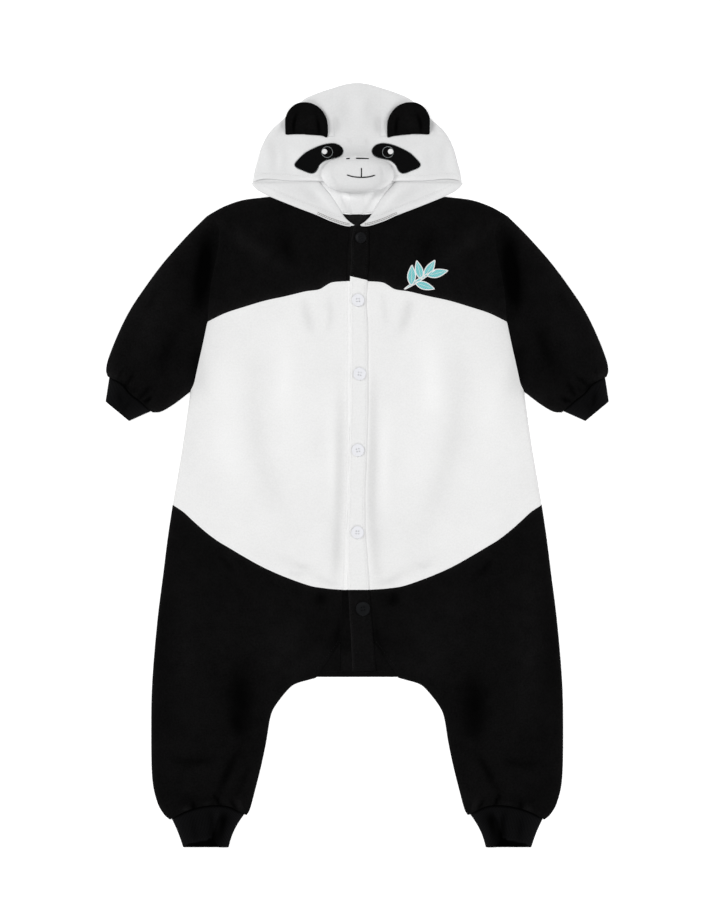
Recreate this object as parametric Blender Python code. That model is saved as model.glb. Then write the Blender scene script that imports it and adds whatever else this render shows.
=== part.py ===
"""Panda onesie: a hooded fleece all-in-one, buttoned up and laid out flat on its back.

The garment lies on the floor with its front up. X runs across it (the wearer's left is +X),
Y runs from the ankles to the hood, and the floor under it is z = 0. Every table is in
millimetres: "across" is the distance from the middle line, "along" is Y.
"""
import bpy
import bmesh
from collections import namedtuple
from math import cos, exp, hypot, pi, radians, sin

MM = 0.001

# ---- driving sizes, mm -------------------------------------------------------------------
CLOTH = 1.8             # fleece wall
APPLIQUE = 1.0          # felt and embroidered patches
BAND_CLOTH = 2.4        # doubled cloth of the button band
GAP = 0.3               # clearance between layers
SEAM = 0.4              # clearance between two pieces at a seam
LAY = 6.2               # top of the front layer over the floor
LAY_LOW, LAY_HIGH = 4.6, 7.2
ROLL = 8.0              # width over which a closed edge rounds down to the floor
BACK_INSET = 3.2        # the back layer stops this far inside a closed edge
CUFF_LAY = 6.0          # a flattened rib cuff, both layers
BAND_TOP = LAY + GAP + BAND_CLOTH
LAPEL_TOP = LAY + GAP + CLOTH + 0.4
HOOD_TOP = 6.2          # top of the hood's upper layer
HOOD_RIM_TOP = 7.0      # the same at its front edge, where it is fuller
MUZZLE_BASE = HOOD_RIM_TOP + GAP + 0.5
MUZZLE_HEIGHT = 32.0
EAR_BASE = HOOD_TOP + GAP + 0.2
EAR_HEIGHT = 13.0
RIGHT, LEFT = -1, 1     # the wearer's sides, as the sign of X

# ---- stations along the middle, mm -------------------------------------------------------
NECK_FOOT = 481         # lowest point of the front neckline
YOKE_FOOT = 367         # where the front panels change from black to white
BELLY_FOOT = -249       # and from white to black
BAND_YOKE_FOOT = 373    # the band changes colour a little higher

# How a closed edge rounds: share of ROLL in from the edge, share of the full height
ROLL_STEPS = ((1.0, 1.0), (0.18, 0.74), (0.0, 0.0))

# ---- outline of one half: (across, along) ------------------------------------------------
NECK_FRONT = ((50, 500), (80, 521), (104, 538))
SHOULDER = ((104, 538), (140, 540), (178, 536), (228, 530), (264, 518), (287, 506), (300, 498))
ARMHOLE_YOKE = ((300, 498), (284, 488), (276, 468), (278, 440), (286, 406), (298, 350), (304, 284))
ARMHOLE_BODY = ((304, 284), (334, 146))
SIDE_BODY = ((334, 146), (348, 46), (356, -2), (369, -79))
SIDE_LEG = ((369, -79), (379, -146), (388, -218), (400, -314), (410, -434), (412, -530), (410, -626),
            (400, -674), (387, -698), (375, -709))
YOKE_SEAM = ((48, 365), (60, 360), (76, 351), (104, 348), (184, 330), (264, 304), (304, 284))
HIP_SEAM = ((64, -246), (104, -238), (184, -206), (264, -160), (344, -98), (369, -79))
CROTCH_END = (83, -426)
INNER_LEG = (CROTCH_END, (98, -430), (124, -438), (140, -451), (164, -482), (174, -506), (182, -554),
             (192, -602), (204, -650), (214, -687), (221, -700))
ANKLE_SEAM = ((221, -700), (236, -692), (262, -681), (302, -681), (343, -692), (375, -709))
SLEEVE_OUTER = ((300, 498), (340, 458), (386, 406), (422, 358), (454, 310), (478, 262), (497, 214),
                (502, 190), (499, 177))
SLEEVE_UNDER = ((334, 146), (364, 123), (391, 107), (409, 105))
WRIST_SEAM = ((499, 177), (471, 163), (453, 143), (434, 128), (409, 105))
WRIST_HEM = ((503, 127), (456, 88))
ANKLE_HEM = ((257, -764), (348, -764))
BACK_NECK = ((0, 501), (28, 502), (60, 514), (104, 538))

# ---- button band and the stand under it --------------------------------------------------
BandRow = namedtuple("BandRow", "along stand_left band_left band_right")
BAND = (
    BandRow(482, -16.0, -3.0, 4.5),
    BandRow(476, -16.3, -6.8, 8.0),
    BandRow(474, -16.4, -7.5, 22.8),
    BandRow(463, -17.0, -10.0, 23.5),
    BandRow(446, -18.0, -12.5, 23.5),
    BandRow(412, -22.0, -11.8, 23.5),
    BandRow(373, -22.0, -14.3, 20.5),
    BandRow(330, -21.5, -14.6, 18.0),
    BandRow(276, -21.0, -13.8, 21.2),
    BandRow(130, -21.5, -14.4, 22.0),
    BandRow(30, -22.0, -16.4, 19.6),
    BandRow(-60, -24.0, -18.0, 15.6),
    BandRow(-130, -26.0, -21.0, 16.0),
    BandRow(-190, -28.0, -19.8, 20.6),
    BandRow(-249, -30.0, -18.2, 24.6),
    BandRow(-296, -31.0, -15.6, 27.8),
    BandRow(-344, -32.5, -12.2, 32.2),
    BandRow(-411, -34.4, -10.0, 37.6),
)
BAND_LAP = 1.6          # the band overlaps its own panel by this much
GUSSET_TOP = -352.0     # where the crotch gusset starts beside the stand
GUSSET_BACK = ((-421.4, 75.8), (-405.0, 65.0), (-387.0, 57.0), (-358.0, 8.0))   # along, half width behind

Button = namedtuple("Button", "name across along diameter tilt finish")
BUTTONS = (
    Button("button_1_black", 6.6, 453.6, 24, 18, "button_black"),
    Button("button_2_white", 1.8, 329.0, 25, 0, "button_white"),
    Button("button_3_white", 5.0, 182.0, 25, 0, "button_white"),
    Button("button_4_white", 1.6, 29.6, 25, 0, "button_white"),
    Button("button_5_white", 0.6, -134.4, 25, 0, "button_white"),
    Button("button_6_black", 11.6, -286.6, 28, 0, "button_black"),
)
BUTTON_THICK = 3.2
BUTTON_SIDES = 16

# Largest soft folds of one half: centre, turn of the crest from the Y axis, size, rise (- is a trough)
Fold = namedtuple("Fold", "across along turn length width rise")
FOLDS = (
    Fold(48, 20, 0, 420, 26, -1.3),
    Fold(74, 40, -4, 380, 34, 1.0),
    Fold(104, 300, 28, 110, 44, -1.4),
    Fold(170, 80, -14, 330, 60, -1.1),
    Fold(228, 20, -8, 320, 60, 0.9),
    Fold(300, 40, -6, 260, 46, -0.9),
    Fold(226, 452, 32, 100, 30, 0.9),
    Fold(120, -300, 38, 200, 50, -1.2),
    Fold(236, -440, 4, 300, 56, -1.3),
    Fold(330, -380, 0, 380, 70, 0.9),
    Fold(200, -560, 10, 160, 36, 0.8),
    Fold(400, 300, 35, 240, 60, 0.9),
    Fold(420, 190, -30, 90, 36, -1.0),
)
FOLD_FREE = 34.0        # no fold within this distance of the middle, under the band

# ---- hood ---------------------------------------------------------------------------------
HOOD_EDGE = ((49, 754), (74, 746), (104, 733), (130, 711), (150, 690), (171, 671), (183, 655))
HOOD_EDGE_LOW = ((183, 655), (194, 630), (200, 600), (205, 580), (207, 566))
CROWN_PEAK = ((0, 764), (9, 764), (30, 760), (49, 754))
CROWN_SEAM = ((49, 754), (47, 709), (45, 656))
EAR_SEAM = ((45, 656), (90, 659), (144, 661), (183, 655))
HOOD_RIM = ((0, 560), (48, 563), (74, 567), (134, 568), (168, 571), (190, 571), (207, 566))
NAPE_HALF = 10.0
LAPEL_RIM = ((204, 563), (179, 537), (133, 519), (81, 499), (50, 487), (20, 477), (9, 479))
LAPEL_ROLL = ((78, 565), (66, 553), (50, 536), (35, 514), (24, 491), (9, 481))
LAPEL_FLOOR_END = 566.0     # above this the hood's lower layer is on the floor
LAPEL_SHOULDER = 542.0      # below this it lies on the shoulders

MUZZLE = {"across": 0.6, "along": 580.5, "half_width": 71.0, "up": 35.5, "down": 36.0}
NOSE = {"across": 0.6, "half_width": 24.0, "low": 11.0, "high": 23.0, "thick": 1.6, "bow": 1.1}
EAR_OUTLINE = ((144, 663), (146, 694), (134, 714), (119, 724), (101, 728), (84, 723), (67, 709),
               (56, 687), (53, 658))
EYE_PATCH = ((33, 635), (27, 626), (32, 616), (46, 612), (62, 607), (74, 599), (82, 586), (90, 582),
             (104, 587), (122, 595), (126, 602), (118, 613), (102, 627), (84, 639), (62, 646), (42, 645))

# ---- chest motif: a sprig of three bamboo leaves -----------------------------------------
SPRIG_AT = (132, 378)
# Leaf: where it grows from (from SPRIG_AT), which way it points (degrees from +X), its size
Leaf = namedtuple("Leaf", "across along turn length width")
SPRIG = (
    Leaf(-38, -27, 32, 74, 4.5),
    Leaf(-24, -19, 88, 40, 15),
    Leaf(-4, -7, 104, 38, 14),
    Leaf(2, -3, 58, 40, 14),
    Leaf(8, 0, 14, 42, 15),
    Leaf(-16, -14, -18, 40, 14),
)
LEAF_POINTS = 7         # along each side of a leaf


# ---- plan curves --------------------------------------------------------------------------
def even(count):
    """Shares 0 to 1 in equal steps."""
    return [i / (count - 1) for i in range(count)]


def mix(a, b, t):
    return tuple(p + (q - p) * t for p, q in zip(a, b))


def rounded(points, steps=8):
    """A smooth (Catmull-Rom) run through the points."""
    ends = [mix(points[1], points[0], 2.0)] + list(points) + [mix(points[-2], points[-1], 2.0)]
    run = []
    for a, b, c, d in zip(ends, ends[1:], ends[2:], ends[3:]):
        for k in range(steps):
            t = k / steps
            run.append(tuple(0.5 * (2 * q + (r - p) * t + (2 * p - 5 * q + 4 * r - s) * t * t
                                    + (3 * q - p - 3 * r + s) * t ** 3)
                             for p, q, r, s in zip(a, b, c, d)))
    return run + [tuple(points[-1])]


def at_shares(points, shares):
    """Points at the given shares of a run's length."""
    lengths = [0.0]
    for a, b in zip(points, points[1:]):
        lengths.append(lengths[-1] + hypot(b[0] - a[0], b[1] - a[1]))
    found = []
    for share in shares:
        want = share * lengths[-1]
        k = 0
        while k < len(points) - 2 and lengths[k + 1] < want:
            k += 1
        span = lengths[k + 1] - lengths[k] or 1.0
        found.append(mix(points[k], points[k + 1], (want - lengths[k]) / span))
    return found


def run(points, count):
    return at_shares(rounded(points), even(count))


def joined(*runs):
    """Several runs end to end, with the shared ends once."""
    whole = list(runs[0])
    for part in runs[1:]:
        whole += list(part)[1:]
    return whole


def toward(a, b, distance):
    """The point at a distance from a, on the way to b."""
    return mix(a, b, distance / (hypot(b[0] - a[0], b[1] - a[1]) or 1.0))


def stations(high, low, count):
    return [high + (low - high) * t for t in even(count)]


def patch(top, bottom, inner, outer):
    """Grid between four edges: top and bottom run outward, inner and outer run down."""
    grid = []
    rows, cols = len(inner), len(top)
    for i in range(rows):
        v = i / (rows - 1)
        line = []
        for j in range(cols):
            u = j / (cols - 1)
            line.append(tuple(
                (1 - v) * top[j][k] + v * bottom[j][k] + (1 - u) * inner[i][k] + u * outer[i][k]
                - (1 - u) * (1 - v) * top[0][k] - u * (1 - v) * top[-1][k]
                - (1 - u) * v * bottom[0][k] - u * v * bottom[-1][k] for k in (0, 1)))
        grid.append(line)
    return grid


def band_at(along, column):
    """A column of the band table, between its rows."""
    for a, b in zip(BAND, BAND[1:]):
        if along >= b.along:
            break
    t = min(max((a.along - along) / (a.along - b.along), 0.0), 1.0)
    return getattr(a, column) + (getattr(b, column) - getattr(a, column)) * t


def centre_edge(side, along):
    """Where a front panel of that side ends at the stand, as a distance from the middle."""
    if side == RIGHT:
        return -band_at(along, "stand_left")
    return band_at(along, "band_right") - BAND_LAP


# ---- heights ------------------------------------------------------------------------------
def front_height(across, along):
    """Top of the front layer over the floor, with its soft folds."""
    height = LAY
    for fold in FOLDS:
        dx, dy = across - fold.across, along - fold.along
        c, s = cos(radians(fold.turn)), sin(radians(fold.turn))
        side, length = dx * c - dy * s, dx * s + dy * c
        reach = (2 * side / fold.width) ** 2 + (2 * length / fold.length) ** 2
        height += fold.rise * exp(-reach)
    free = min(max((across - FOLD_FREE) / 20.0, 0.0), 1.0)
    return min(max(LAY + (height - LAY) * free, LAY_LOW), LAY_HIGH)


def hood_height(across, along):
    """Top of the hood's upper layer, fuller toward its front edge."""
    full = min(max((650.0 - along) / 70.0, 0.0), 1.0)
    return HOOD_TOP + (HOOD_RIM_TOP - HOOD_TOP) * full


def lapel_height(across, along):
    """Top of the hood's lower layer, from the floor up over the shoulders."""
    rise = min(max((LAPEL_FLOOR_END - along) / (LAPEL_FLOOR_END - LAPEL_SHOULDER), 0.0), 1.0)
    return CLOTH + (LAPEL_TOP - CLOTH) * rise


# ---- sheets -------------------------------------------------------------------------------
def normals(points, turn):
    """Unit normals along a run, to its left for turn 1 and to its right for turn -1."""
    found = []
    for i in range(len(points)):
        a, b = points[max(i - 1, 0)], points[min(i + 1, len(points) - 1)]
        dx, dy = b[0] - a[0], b[1] - a[1]
        span = hypot(dx, dy)
        found.append((-turn * dy / span, turn * dx / span))
    return found


def offset(points, distance, turn):
    return [(p[0] + n[0] * distance, p[1] + n[1] * distance) for p, n in zip(points, normals(points, turn))]


def end_points(line, closed_edge, height, inward=None):
    """The last point of a line becomes a rounded edge, or a plain cut one with as many points."""
    edge, before = line[-1], line[-2]
    if inward:
        before = (edge[0] + inward[0], edge[1] + inward[1])
    done = [(p[0], p[1], height(*p)) for p in line[:-1]]
    cut_steps = (ROLL, 0.25 * ROLL, SEAM / 2)
    for (share, rise), inset in zip(ROLL_STEPS, cut_steps):
        p = toward(edge, before, share * ROLL if closed_edge else inset)
        done.append((p[0], p[1], (rise if closed_edge else 1.0) * height(*p)))
    return done


def widened(row, shift):
    """A seam row moved along Y where it rounds down to the floor, for the cloth's slant there."""
    top = max(z for x, y, z in row)
    return [(x, y + (shift if z < 0.9 * top else 0.0), z) for x, y, z in row]


def cut_row(row, neighbour):
    """A row moved a little toward its neighbour, to leave the seam's gap."""
    return [toward(p, q, SEAM / 2) for p, q in zip(row, neighbour)]


def cut_ends(grid, top=True, bottom=True):
    grid = [list(row) for row in grid]
    if top:
        grid[0] = cut_row(grid[0], grid[1])
    if bottom:
        grid[-1] = cut_row(grid[-1], grid[-2])
    return grid


def cut_inner(grid):
    """Every row's first point moved outward by half the gap."""
    return [[toward(row[0], row[1], SEAM / 2)] + list(row[1:]) for row in grid]


def flipped(grid):
    """Rows become columns."""
    return [list(line) for line in zip(*grid)]


def make_object(name, mesh, finish):
    data = bpy.data.meshes.new(name)
    bmesh.ops.remove_doubles(mesh, verts=mesh.verts, dist=0.00001)
    mesh.to_mesh(data)
    mesh.free()
    data.shade_smooth()
    data.set_sharp_from_angle(angle=radians(40))
    piece = bpy.data.objects.new(name, data)
    bpy.context.scene.collection.objects.link(piece)
    data.materials.append(material(finish))
    return piece


def add_grid(mesh, grid, side, closed=False, skip=(), flip=False):
    """Quads between neighbouring rows and columns, facing up for a grid that runs out and down."""
    verts = [[mesh.verts.new((side * x * MM, y * MM, z * MM)) for x, y, z in row] for row in grid]
    for i in range(len(grid) - 1):
        width = len(grid[i])
        for j in range(width if closed else width - 1):
            if (i, j) in skip:
                continue
            k = (j + 1) % width
            corners = [verts[i][j], verts[i + 1][j], verts[i + 1][k], verts[i][k]]
            mesh.faces.new(corners if (side == LEFT) != flip else corners[::-1])


def thicken(piece, thick):
    """A cloth wall grown inward from its outer face, with nothing of it under the floor."""
    wall = piece.modifiers.new("Cloth", "SOLIDIFY")
    wall.thickness = thick * MM
    wall.offset = -1.0
    solid = bpy.data.meshes.new_from_object(piece.evaluated_get(bpy.context.evaluated_depsgraph_get()))
    piece.modifiers.clear()
    piece.data = solid
    for vert in solid.vertices:
        vert.co.z = max(vert.co.z, 0.0)
    return piece


def sheet(name, grids, side, finish, thick=CLOTH, closed=False, skip=(), flip=False):
    """Cloth whose upper or outer face is the grids."""
    mesh = bmesh.new()
    for grid in grids:
        add_grid(mesh, grid, side, closed, skip, flip)
    return thicken(make_object(name, mesh, finish), thick)


def plate(name, outline, finish, top=CLOTH, thick=CLOTH):
    """A flat piece from its outline, its upper face at a height."""
    mesh = bmesh.new()
    face = mesh.faces.new([mesh.verts.new((x * MM, y * MM, top * MM)) for x, y in outline])
    face.normal_update()
    if face.normal.z < 0:
        face.normal_flip()
    return thicken(make_object(name, mesh, finish), thick)


# ---- materials ----------------------------------------------------------------------------
FINISHES = {
    "fleece_white": ((0.82, 0.82, 0.81, 1), 0.92),
    "fleece_black": ((0.012, 0.012, 0.013, 1), 0.94),
    "rib_black": ((0.009, 0.009, 0.010, 1), 0.9),
    "felt_black": ((0.012, 0.012, 0.013, 1), 0.9),
    "button_white": ((0.80, 0.80, 0.79, 1), 0.35),
    "button_black": ((0.018, 0.019, 0.022, 1), 0.3),
    "patch_teal": ((0.09, 0.45, 0.46, 1), 0.75),
}


def material(finish):
    found = bpy.data.materials.get(finish)
    if found:
        return found
    colour, roughness = FINISHES[finish]
    made = bpy.data.materials.new(finish)
    made.use_nodes = True
    shader = made.node_tree.nodes["Principled BSDF"]
    shader.inputs["Base Color"].default_value = colour
    shader.inputs["Roughness"].default_value = roughness
    shader.inputs["Metallic"].default_value = 0.0
    return made


# ---- front and back panels ----------------------------------------------------------------
COLS = 8                # points across a front panel
NECK_COLS = 2           # of them, how many lie along the neckline
YOKE_ROWS, BODY_ARM_ROWS, BODY_SIDE_ROWS = 6, 4, 6
# shares of the inner leg's length with a row: close together where the crotch curves
INNER_LEG_SHARES = (0.0, 0.05, 0.12, 0.19, 0.27, 0.36, 0.5, 0.66, 0.83, 1.0)
LEG_ROWS = (4, 3, len(INNER_LEG_SHARES))    # rows beside the stand, the gusset and the inner leg


def yoke_plan(side):
    """The front yoke's grid: neckline and shoulder on top, the armhole outside."""
    c_top, c_low = centre_edge(side, NECK_FOOT), centre_edge(side, YOKE_FOOT)
    neck = run(((c_top, NECK_FOOT),) + NECK_FRONT, NECK_COLS + 1)
    top = joined(neck, run(SHOULDER, COLS - NECK_COLS))
    bottom = at_shares(rounded(((c_low, YOKE_FOOT),) + YOKE_SEAM), even(COLS))
    inner = [(centre_edge(side, y), y) for y in stations(NECK_FOOT, YOKE_FOOT, YOKE_ROWS)]
    return patch(top, bottom, inner, run(ARMHOLE_YOKE, YOKE_ROWS))


def body_plan(side):
    """The front body's grid: the armhole and the side outside."""
    c_top, c_low = centre_edge(side, YOKE_FOOT), centre_edge(side, BELLY_FOOT)
    top = at_shares(rounded(((c_top, YOKE_FOOT),) + YOKE_SEAM), even(COLS))
    bottom = at_shares(rounded(((c_low, BELLY_FOOT),) + HIP_SEAM), even(COLS))
    outer = joined(run(ARMHOLE_BODY, BODY_ARM_ROWS), run(SIDE_BODY, BODY_SIDE_ROWS))
    inner = [(centre_edge(side, y), y) for y in stations(YOKE_FOOT, BELLY_FOOT, len(outer))]
    return patch(top, bottom, inner, outer)


def leg_plan(side):
    """The front leg's grid: the stand, the gusset and the inner leg inside."""
    c_top = centre_edge(side, BELLY_FOOT)
    beside, gusset = LEG_ROWS[:2]
    stand = [(centre_edge(side, y), y) for y in stations(BELLY_FOOT, GUSSET_TOP, beside)]
    inner_leg = at_shares(rounded(INNER_LEG), INNER_LEG_SHARES)
    inner = joined(stand, run((stand[-1], CROTCH_END), gusset), inner_leg)
    top = at_shares(rounded(((c_top, BELLY_FOOT),) + HIP_SEAM), even(COLS))
    bottom = run(ANKLE_SEAM, COLS)
    return patch(top, bottom, inner, run(SIDE_LEG, len(inner)))


def front_yoke(side, name):
    grid = cut_inner(cut_ends(yoke_plan(side), top=False))
    lines = []
    for j, line in enumerate(flipped(grid)):
        on_shoulder = j > NECK_COLS
        lines.append(end_points(line[::-1], on_shoulder, front_height)[::-1])
    rows = flipped(lines)
    # the armhole's own line keeps its rounded top, and the rest of it is moved off the seam
    rows = [row[:-1] + [cut_point(row[-1], row[-2])] for row in rows]
    return sheet(name, [rows], side, "fleece_black")


def cut_point(p, q):
    """A point moved off the seam in plan, its height kept."""
    x, y = toward(p[:2], q[:2], SEAM)
    return (x, y, p[2])


def front_body(side, name):
    grid = cut_inner(cut_ends(body_plan(side)))
    rows = [end_points(row, i >= BODY_ARM_ROWS - 1, front_height) for i, row in enumerate(grid)]
    rows[-1] = widened(rows[-1], SEAM)
    return sheet(name, [rows], side, "fleece_white")


def front_leg(side, name):
    grid = cut_ends(leg_plan(side))
    beside, gusset = LEG_ROWS[:2]
    first_open = beside + gusset - 2
    inward = [None] * first_open + normals([row[0] for row in grid[first_open:]], 1)
    rows = []
    for row, into in zip(grid, inward):
        outer = end_points(row, True, front_height)
        inner = end_points([row[1], row[0]], into is not None, front_height, into)[1:]
        rows.append(inner[::-1] + outer[1:])
    return sheet(name, [rows], side, "fleece_black")


def inset_outer(line, closed):
    """The outer end of a back row: inside a closed edge, or at the seam's gap."""
    return toward(line[-1], line[-2], BACK_INSET if closed else SEAM / 2)


def mirror(outline):
    return outline + [(-x, y) for x, y in outline[::-1]]


def back_yoke(name):
    grid = yoke_plan(RIGHT)
    lines = flipped(cut_ends(grid, top=False))
    top = [toward(line[0], line[1], BACK_INSET) for line in lines[NECK_COLS + 1:]]
    neck = [(x, y - SEAM / 2) for x, y in run(BACK_NECK, 5)]
    side = [toward(row[-1], row[-2], SEAM / 2) for row in grid[1:-1]]
    bottom = [line[-1] for line in lines][::-1]
    return plate(name, mirror(neck[:-1] + top + side + bottom), "fleece_black")


def back_body(name):
    grid = cut_ends(body_plan(RIGHT))
    side = [inset_outer(row, i >= BODY_ARM_ROWS - 1) for i, row in enumerate(grid)][1:-1]
    top = grid[0][:-1] + [inset_outer(grid[0], False)]
    bottom = grid[-1][:-1] + [inset_outer(grid[-1], True)]
    return plate(name, mirror(top + side + bottom[::-1]), "fleece_white")


def back_leg(side, name):
    grid = cut_ends(leg_plan(RIGHT))
    beside, gusset = LEG_ROWS[:2]
    top = grid[0][:-1] + [inset_outer(grid[0], True)]
    outer = [inset_outer(row, True) for row in grid[1:-1]]
    bottom = grid[-1][1:-1]
    low = [toward(grid[-1][0], grid[-1][1], BACK_INSET)] + bottom + [inset_outer(grid[-1], True)]
    inner = offset([row[0] for row in grid[beside - 1:]], BACK_INSET, 1)[1:-1]
    # the back has a middle seam down to the gusset's point
    middle = [(SEAM / 2, BELLY_FOOT - 2), (SEAM / 2, GUSSET_TOP - GAP)]
    outline = middle[:1] + top + outer + low[::-1] + inner[::-1] + middle[1:]
    return plate(name, [(side * x, y) for x, y in outline], "fleece_black")


def gusset(name):
    """Crotch gusset: beside and below the stand in front, over the fold, up to a point behind."""
    stand_end = BAND[-1].along
    left = [(-centre_edge(RIGHT, GUSSET_TOP), GUSSET_TOP), (-CROTCH_END[0], CROTCH_END[1])]
    right = [(centre_edge(LEFT, GUSSET_TOP), GUSSET_TOP), (CROTCH_END[0], CROTCH_END[1])]
    fold = CROTCH_END[1] + 2
    share = lambda y: (y - GUSSET_TOP) / (CROTCH_END[1] - GUSSET_TOP)
    clear = 1.3 * GAP

    def front_row(y, z, narrow=0.0):
        a = mix(left[0], left[1], share(y))[0] + clear + narrow
        d = mix(right[0], right[1], share(y))[0] - clear - narrow
        b = max(-centre_edge(RIGHT, max(y, stand_end)) - GAP, a + 0.2)
        c = min(centre_edge(LEFT, max(y, stand_end)) + GAP, d - 0.2)
        return [(x, y, z) for x in (a, b, (b + c) / 2, c, d)]

    rows = [front_row(GUSSET_TOP - 4, LAY), front_row(-385, LAY), front_row(stand_end - GAP, LAY),
            front_row(fold + ROLL - 2, LAY)]
    for p, z in ((2.0, 0.78 * LAY), (0.6, 0.32 * LAY)):
        rows.append(front_row(fold + p, z, 1.0))
    for y, half in GUSSET_BACK:
        rows.append([(x * half, y, 0.0) for x in (-1, -0.4, 0, 0.4, 1)])
    skip = {(i, j) for i in (0, 1) for j in (1, 2)}
    return sheet(name, [rows], LEFT, "fleece_black", skip=skip)


def stand_pieces():
    """The button stand lies between the two fronts, in the front layer."""
    plans = {
        "stand_yoke": (yoke_plan, slice(None), "fleece_black"),
        "stand_body": (body_plan, slice(None), "fleece_white"),
        "stand_leg": (leg_plan, slice(0, LEG_ROWS[0]), "fleece_black"),
    }
    for name, (plan, rows, finish) in plans.items():
        lefts = [row[0] for row in plan(RIGHT)][rows]
        rights = [row[0] for row in plan(LEFT)][rows]
        grid = [[(-a[0] + SEAM / 2, a[1]), (b[0] - SEAM / 2, b[1])] for a, b in zip(lefts, rights)]
        if name == "stand_leg":
            end = BAND[-1].along
            grid.append([(-centre_edge(RIGHT, end) + SEAM / 2, end),
                         (centre_edge(LEFT, end) - SEAM / 2, end)])
        grid = cut_ends(grid)
        sheet(name, [[[(x, y, LAY) for x, y in row] for row in grid]], LEFT, finish)


def band_pieces():
    """The button band in three colours, lying on the stand and on its own panel's edge."""
    cuts = ((BAND[0].along, BAND_YOKE_FOOT, "band_yoke", "fleece_black"),
            (BAND_YOKE_FOOT, BELLY_FOOT, "band_body", "fleece_white"),
            (BELLY_FOOT, BAND[-1].along, "band_leg", "fleece_black"))
    for high, low, name, finish in cuts:
        rows = []
        for row in BAND:
            if low <= row.along <= high:
                y = row.along
                y -= SEAM / 2 if row.along == high else 0
                y += SEAM / 2 if row.along == low else 0
                middle = (row.band_left + row.band_right) / 2
                rows.append([(x, y, BAND_TOP) for x in (row.band_left, middle, row.band_right)])
        sheet(name, [rows], LEFT, finish, thick=BAND_CLOTH)


# ---- sleeves and cuffs --------------------------------------------------------------------
def flat_ring(points, height, mid_share=0.32):
    """A flattened tube's outer section over plan points, both its ends rounded."""
    first, last = points[0], points[-1]
    near = [toward(first, points[1], share * ROLL) for share in (0.2, 1.0)]
    far = [toward(last, points[-2], share * ROLL) for share in (1.0, 0.2)]
    across = near + list(points[1:-1]) + far
    rises = [0.78] + [1.0] * (len(across) - 2) + [0.78]
    top = [(p[0], p[1], r * height(*p)) for p, r in zip(across, rises)]
    low = [(p[0], p[1], 0.0) for p in across[::-1] if p not in (near[1], far[0])]
    edge = lambda p: (p[0], p[1], mid_share * height(*p))
    return [edge(first)] + top + [edge(last)] + low


ARM_ROWS = 8            # rings along a sleeve


def arm_plan():
    """Sleeve plan: rows run from the outer edge to the underarm, from armhole to wrist."""
    armhole = joined(run(ARMHOLE_YOKE, YOKE_ROWS), run(ARMHOLE_BODY, BODY_ARM_ROWS))
    wrist = at_shares(WRIST_SEAM, even(len(armhole)))
    return patch(armhole, wrist, run(SLEEVE_OUTER, ARM_ROWS), run(SLEEVE_UNDER, ARM_ROWS))


def sleeve(side, name):
    grid = cut_ends(arm_plan())
    rings = [flat_ring(row, front_height) for row in grid]
    return sheet(name, [rings], side, "fleece_black", closed=True, flip=True)


def cuff(side, name, seam, hem, away, flip):
    """A rib cuff from the seam's plan points to its hem, a flattened tube."""
    cols = len(seam)
    low = at_shares(hem, even(cols))
    moved = [(p[0] + away[0] * 2 * GAP, p[1] + away[1] * 2 * GAP) for p in seam]
    rows = [[mix(a, b, t) for a, b in zip(moved, low)] for t in (0.0, 0.4, 1.0)]
    flat = lambda x, y: CUFF_LAY
    rings = [flat_ring(row, flat) for row in rows]
    return sheet(name, [rings], side, "rib_black", closed=True, flip=flip)


# ---- hood ---------------------------------------------------------------------------------
HOOD_SEAM_POINTS = 6    # points along each upper seam of the hood, shared by both its pieces


def hood_crown(name):
    """Middle strip of the hood's upper layer, from the ear seam up over the top edge."""
    cols = 7
    peak = run(CROWN_PEAK, 4)
    top = [(-x, y) for x, y in peak[:0:-1]] + peak
    seam = run(CROWN_SEAM, HOOD_SEAM_POINTS)
    right = seam
    left = [(-x, y) for x, y in seam]
    foot = [mix((-45, 656), (45, 656), t) for t in even(cols)]
    grid = patch(top, foot, left, right)
    grid = [[toward(row[0], row[1], SEAM / 2)] + row[1:-1] + [toward(row[-1], row[-2], SEAM / 2)]
            for row in grid]
    grid = cut_ends(grid, top=False)
    lines = [end_points(line[::-1], True, hood_height)[::-1] for line in flipped(grid)]
    return sheet(name, [flipped(lines)], LEFT, "fleece_white")


def hood_side(side, name):
    """Upper side panel: lines fan from the ear seam's inner end out to the hood's edge."""
    hub = EAR_SEAM[0]
    outer = run(HOOD_EDGE, 9)
    lines = [[mix(hub, p, t) for t in even(HOOD_SEAM_POINTS)] for p in outer]
    lines[0] = [(x + SEAM / 2, y) for x, y in run(CROWN_SEAM, HOOD_SEAM_POINTS)[::-1]]
    lines[-1] = [(x, y + SEAM / 2) for x, y in run(EAR_SEAM, HOOD_SEAM_POINTS)]
    inside = (hub[0] + SEAM, hub[1] + SEAM)
    lines = [[inside] + line[1:] for line in lines]
    rows = [end_points(line, True, hood_height) for line in lines]
    rows[-1] = widened(rows[-1], 2 * SEAM)
    return sheet(name, [rows], side, "fleece_white")


def hood_band(name):
    """Face panel of the upper layer, from the ear seam to the hood's front edge."""
    top = [(0, 656)] + run(EAR_SEAM, HOOD_SEAM_POINTS)
    low = run(HOOD_RIM, len(top))
    outer = run(HOOD_EDGE_LOW, 5)
    inner = [(0, 656 + (560 - 656) * t) for t in even(5)]
    grid = cut_ends(patch(top, low, inner, outer), bottom=False)
    right = [end_points(row, True, hood_height) for row in grid]
    right[0] = widened(right[0], -SEAM)
    rows = [[(-x, y, z) for x, y, z in row[:0:-1]] + row for row in right]
    return sheet(name, [rows], LEFT, "fleece_white")


def nape_seam(along):
    """Half width of the back strip, narrowing from the hood's top to the nape."""
    t = (748.0 - along) / (748.0 - 502.0)
    return 46.0 + (NAPE_HALF - 46.0) * min(max(t, 0.0), 1.0)


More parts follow.
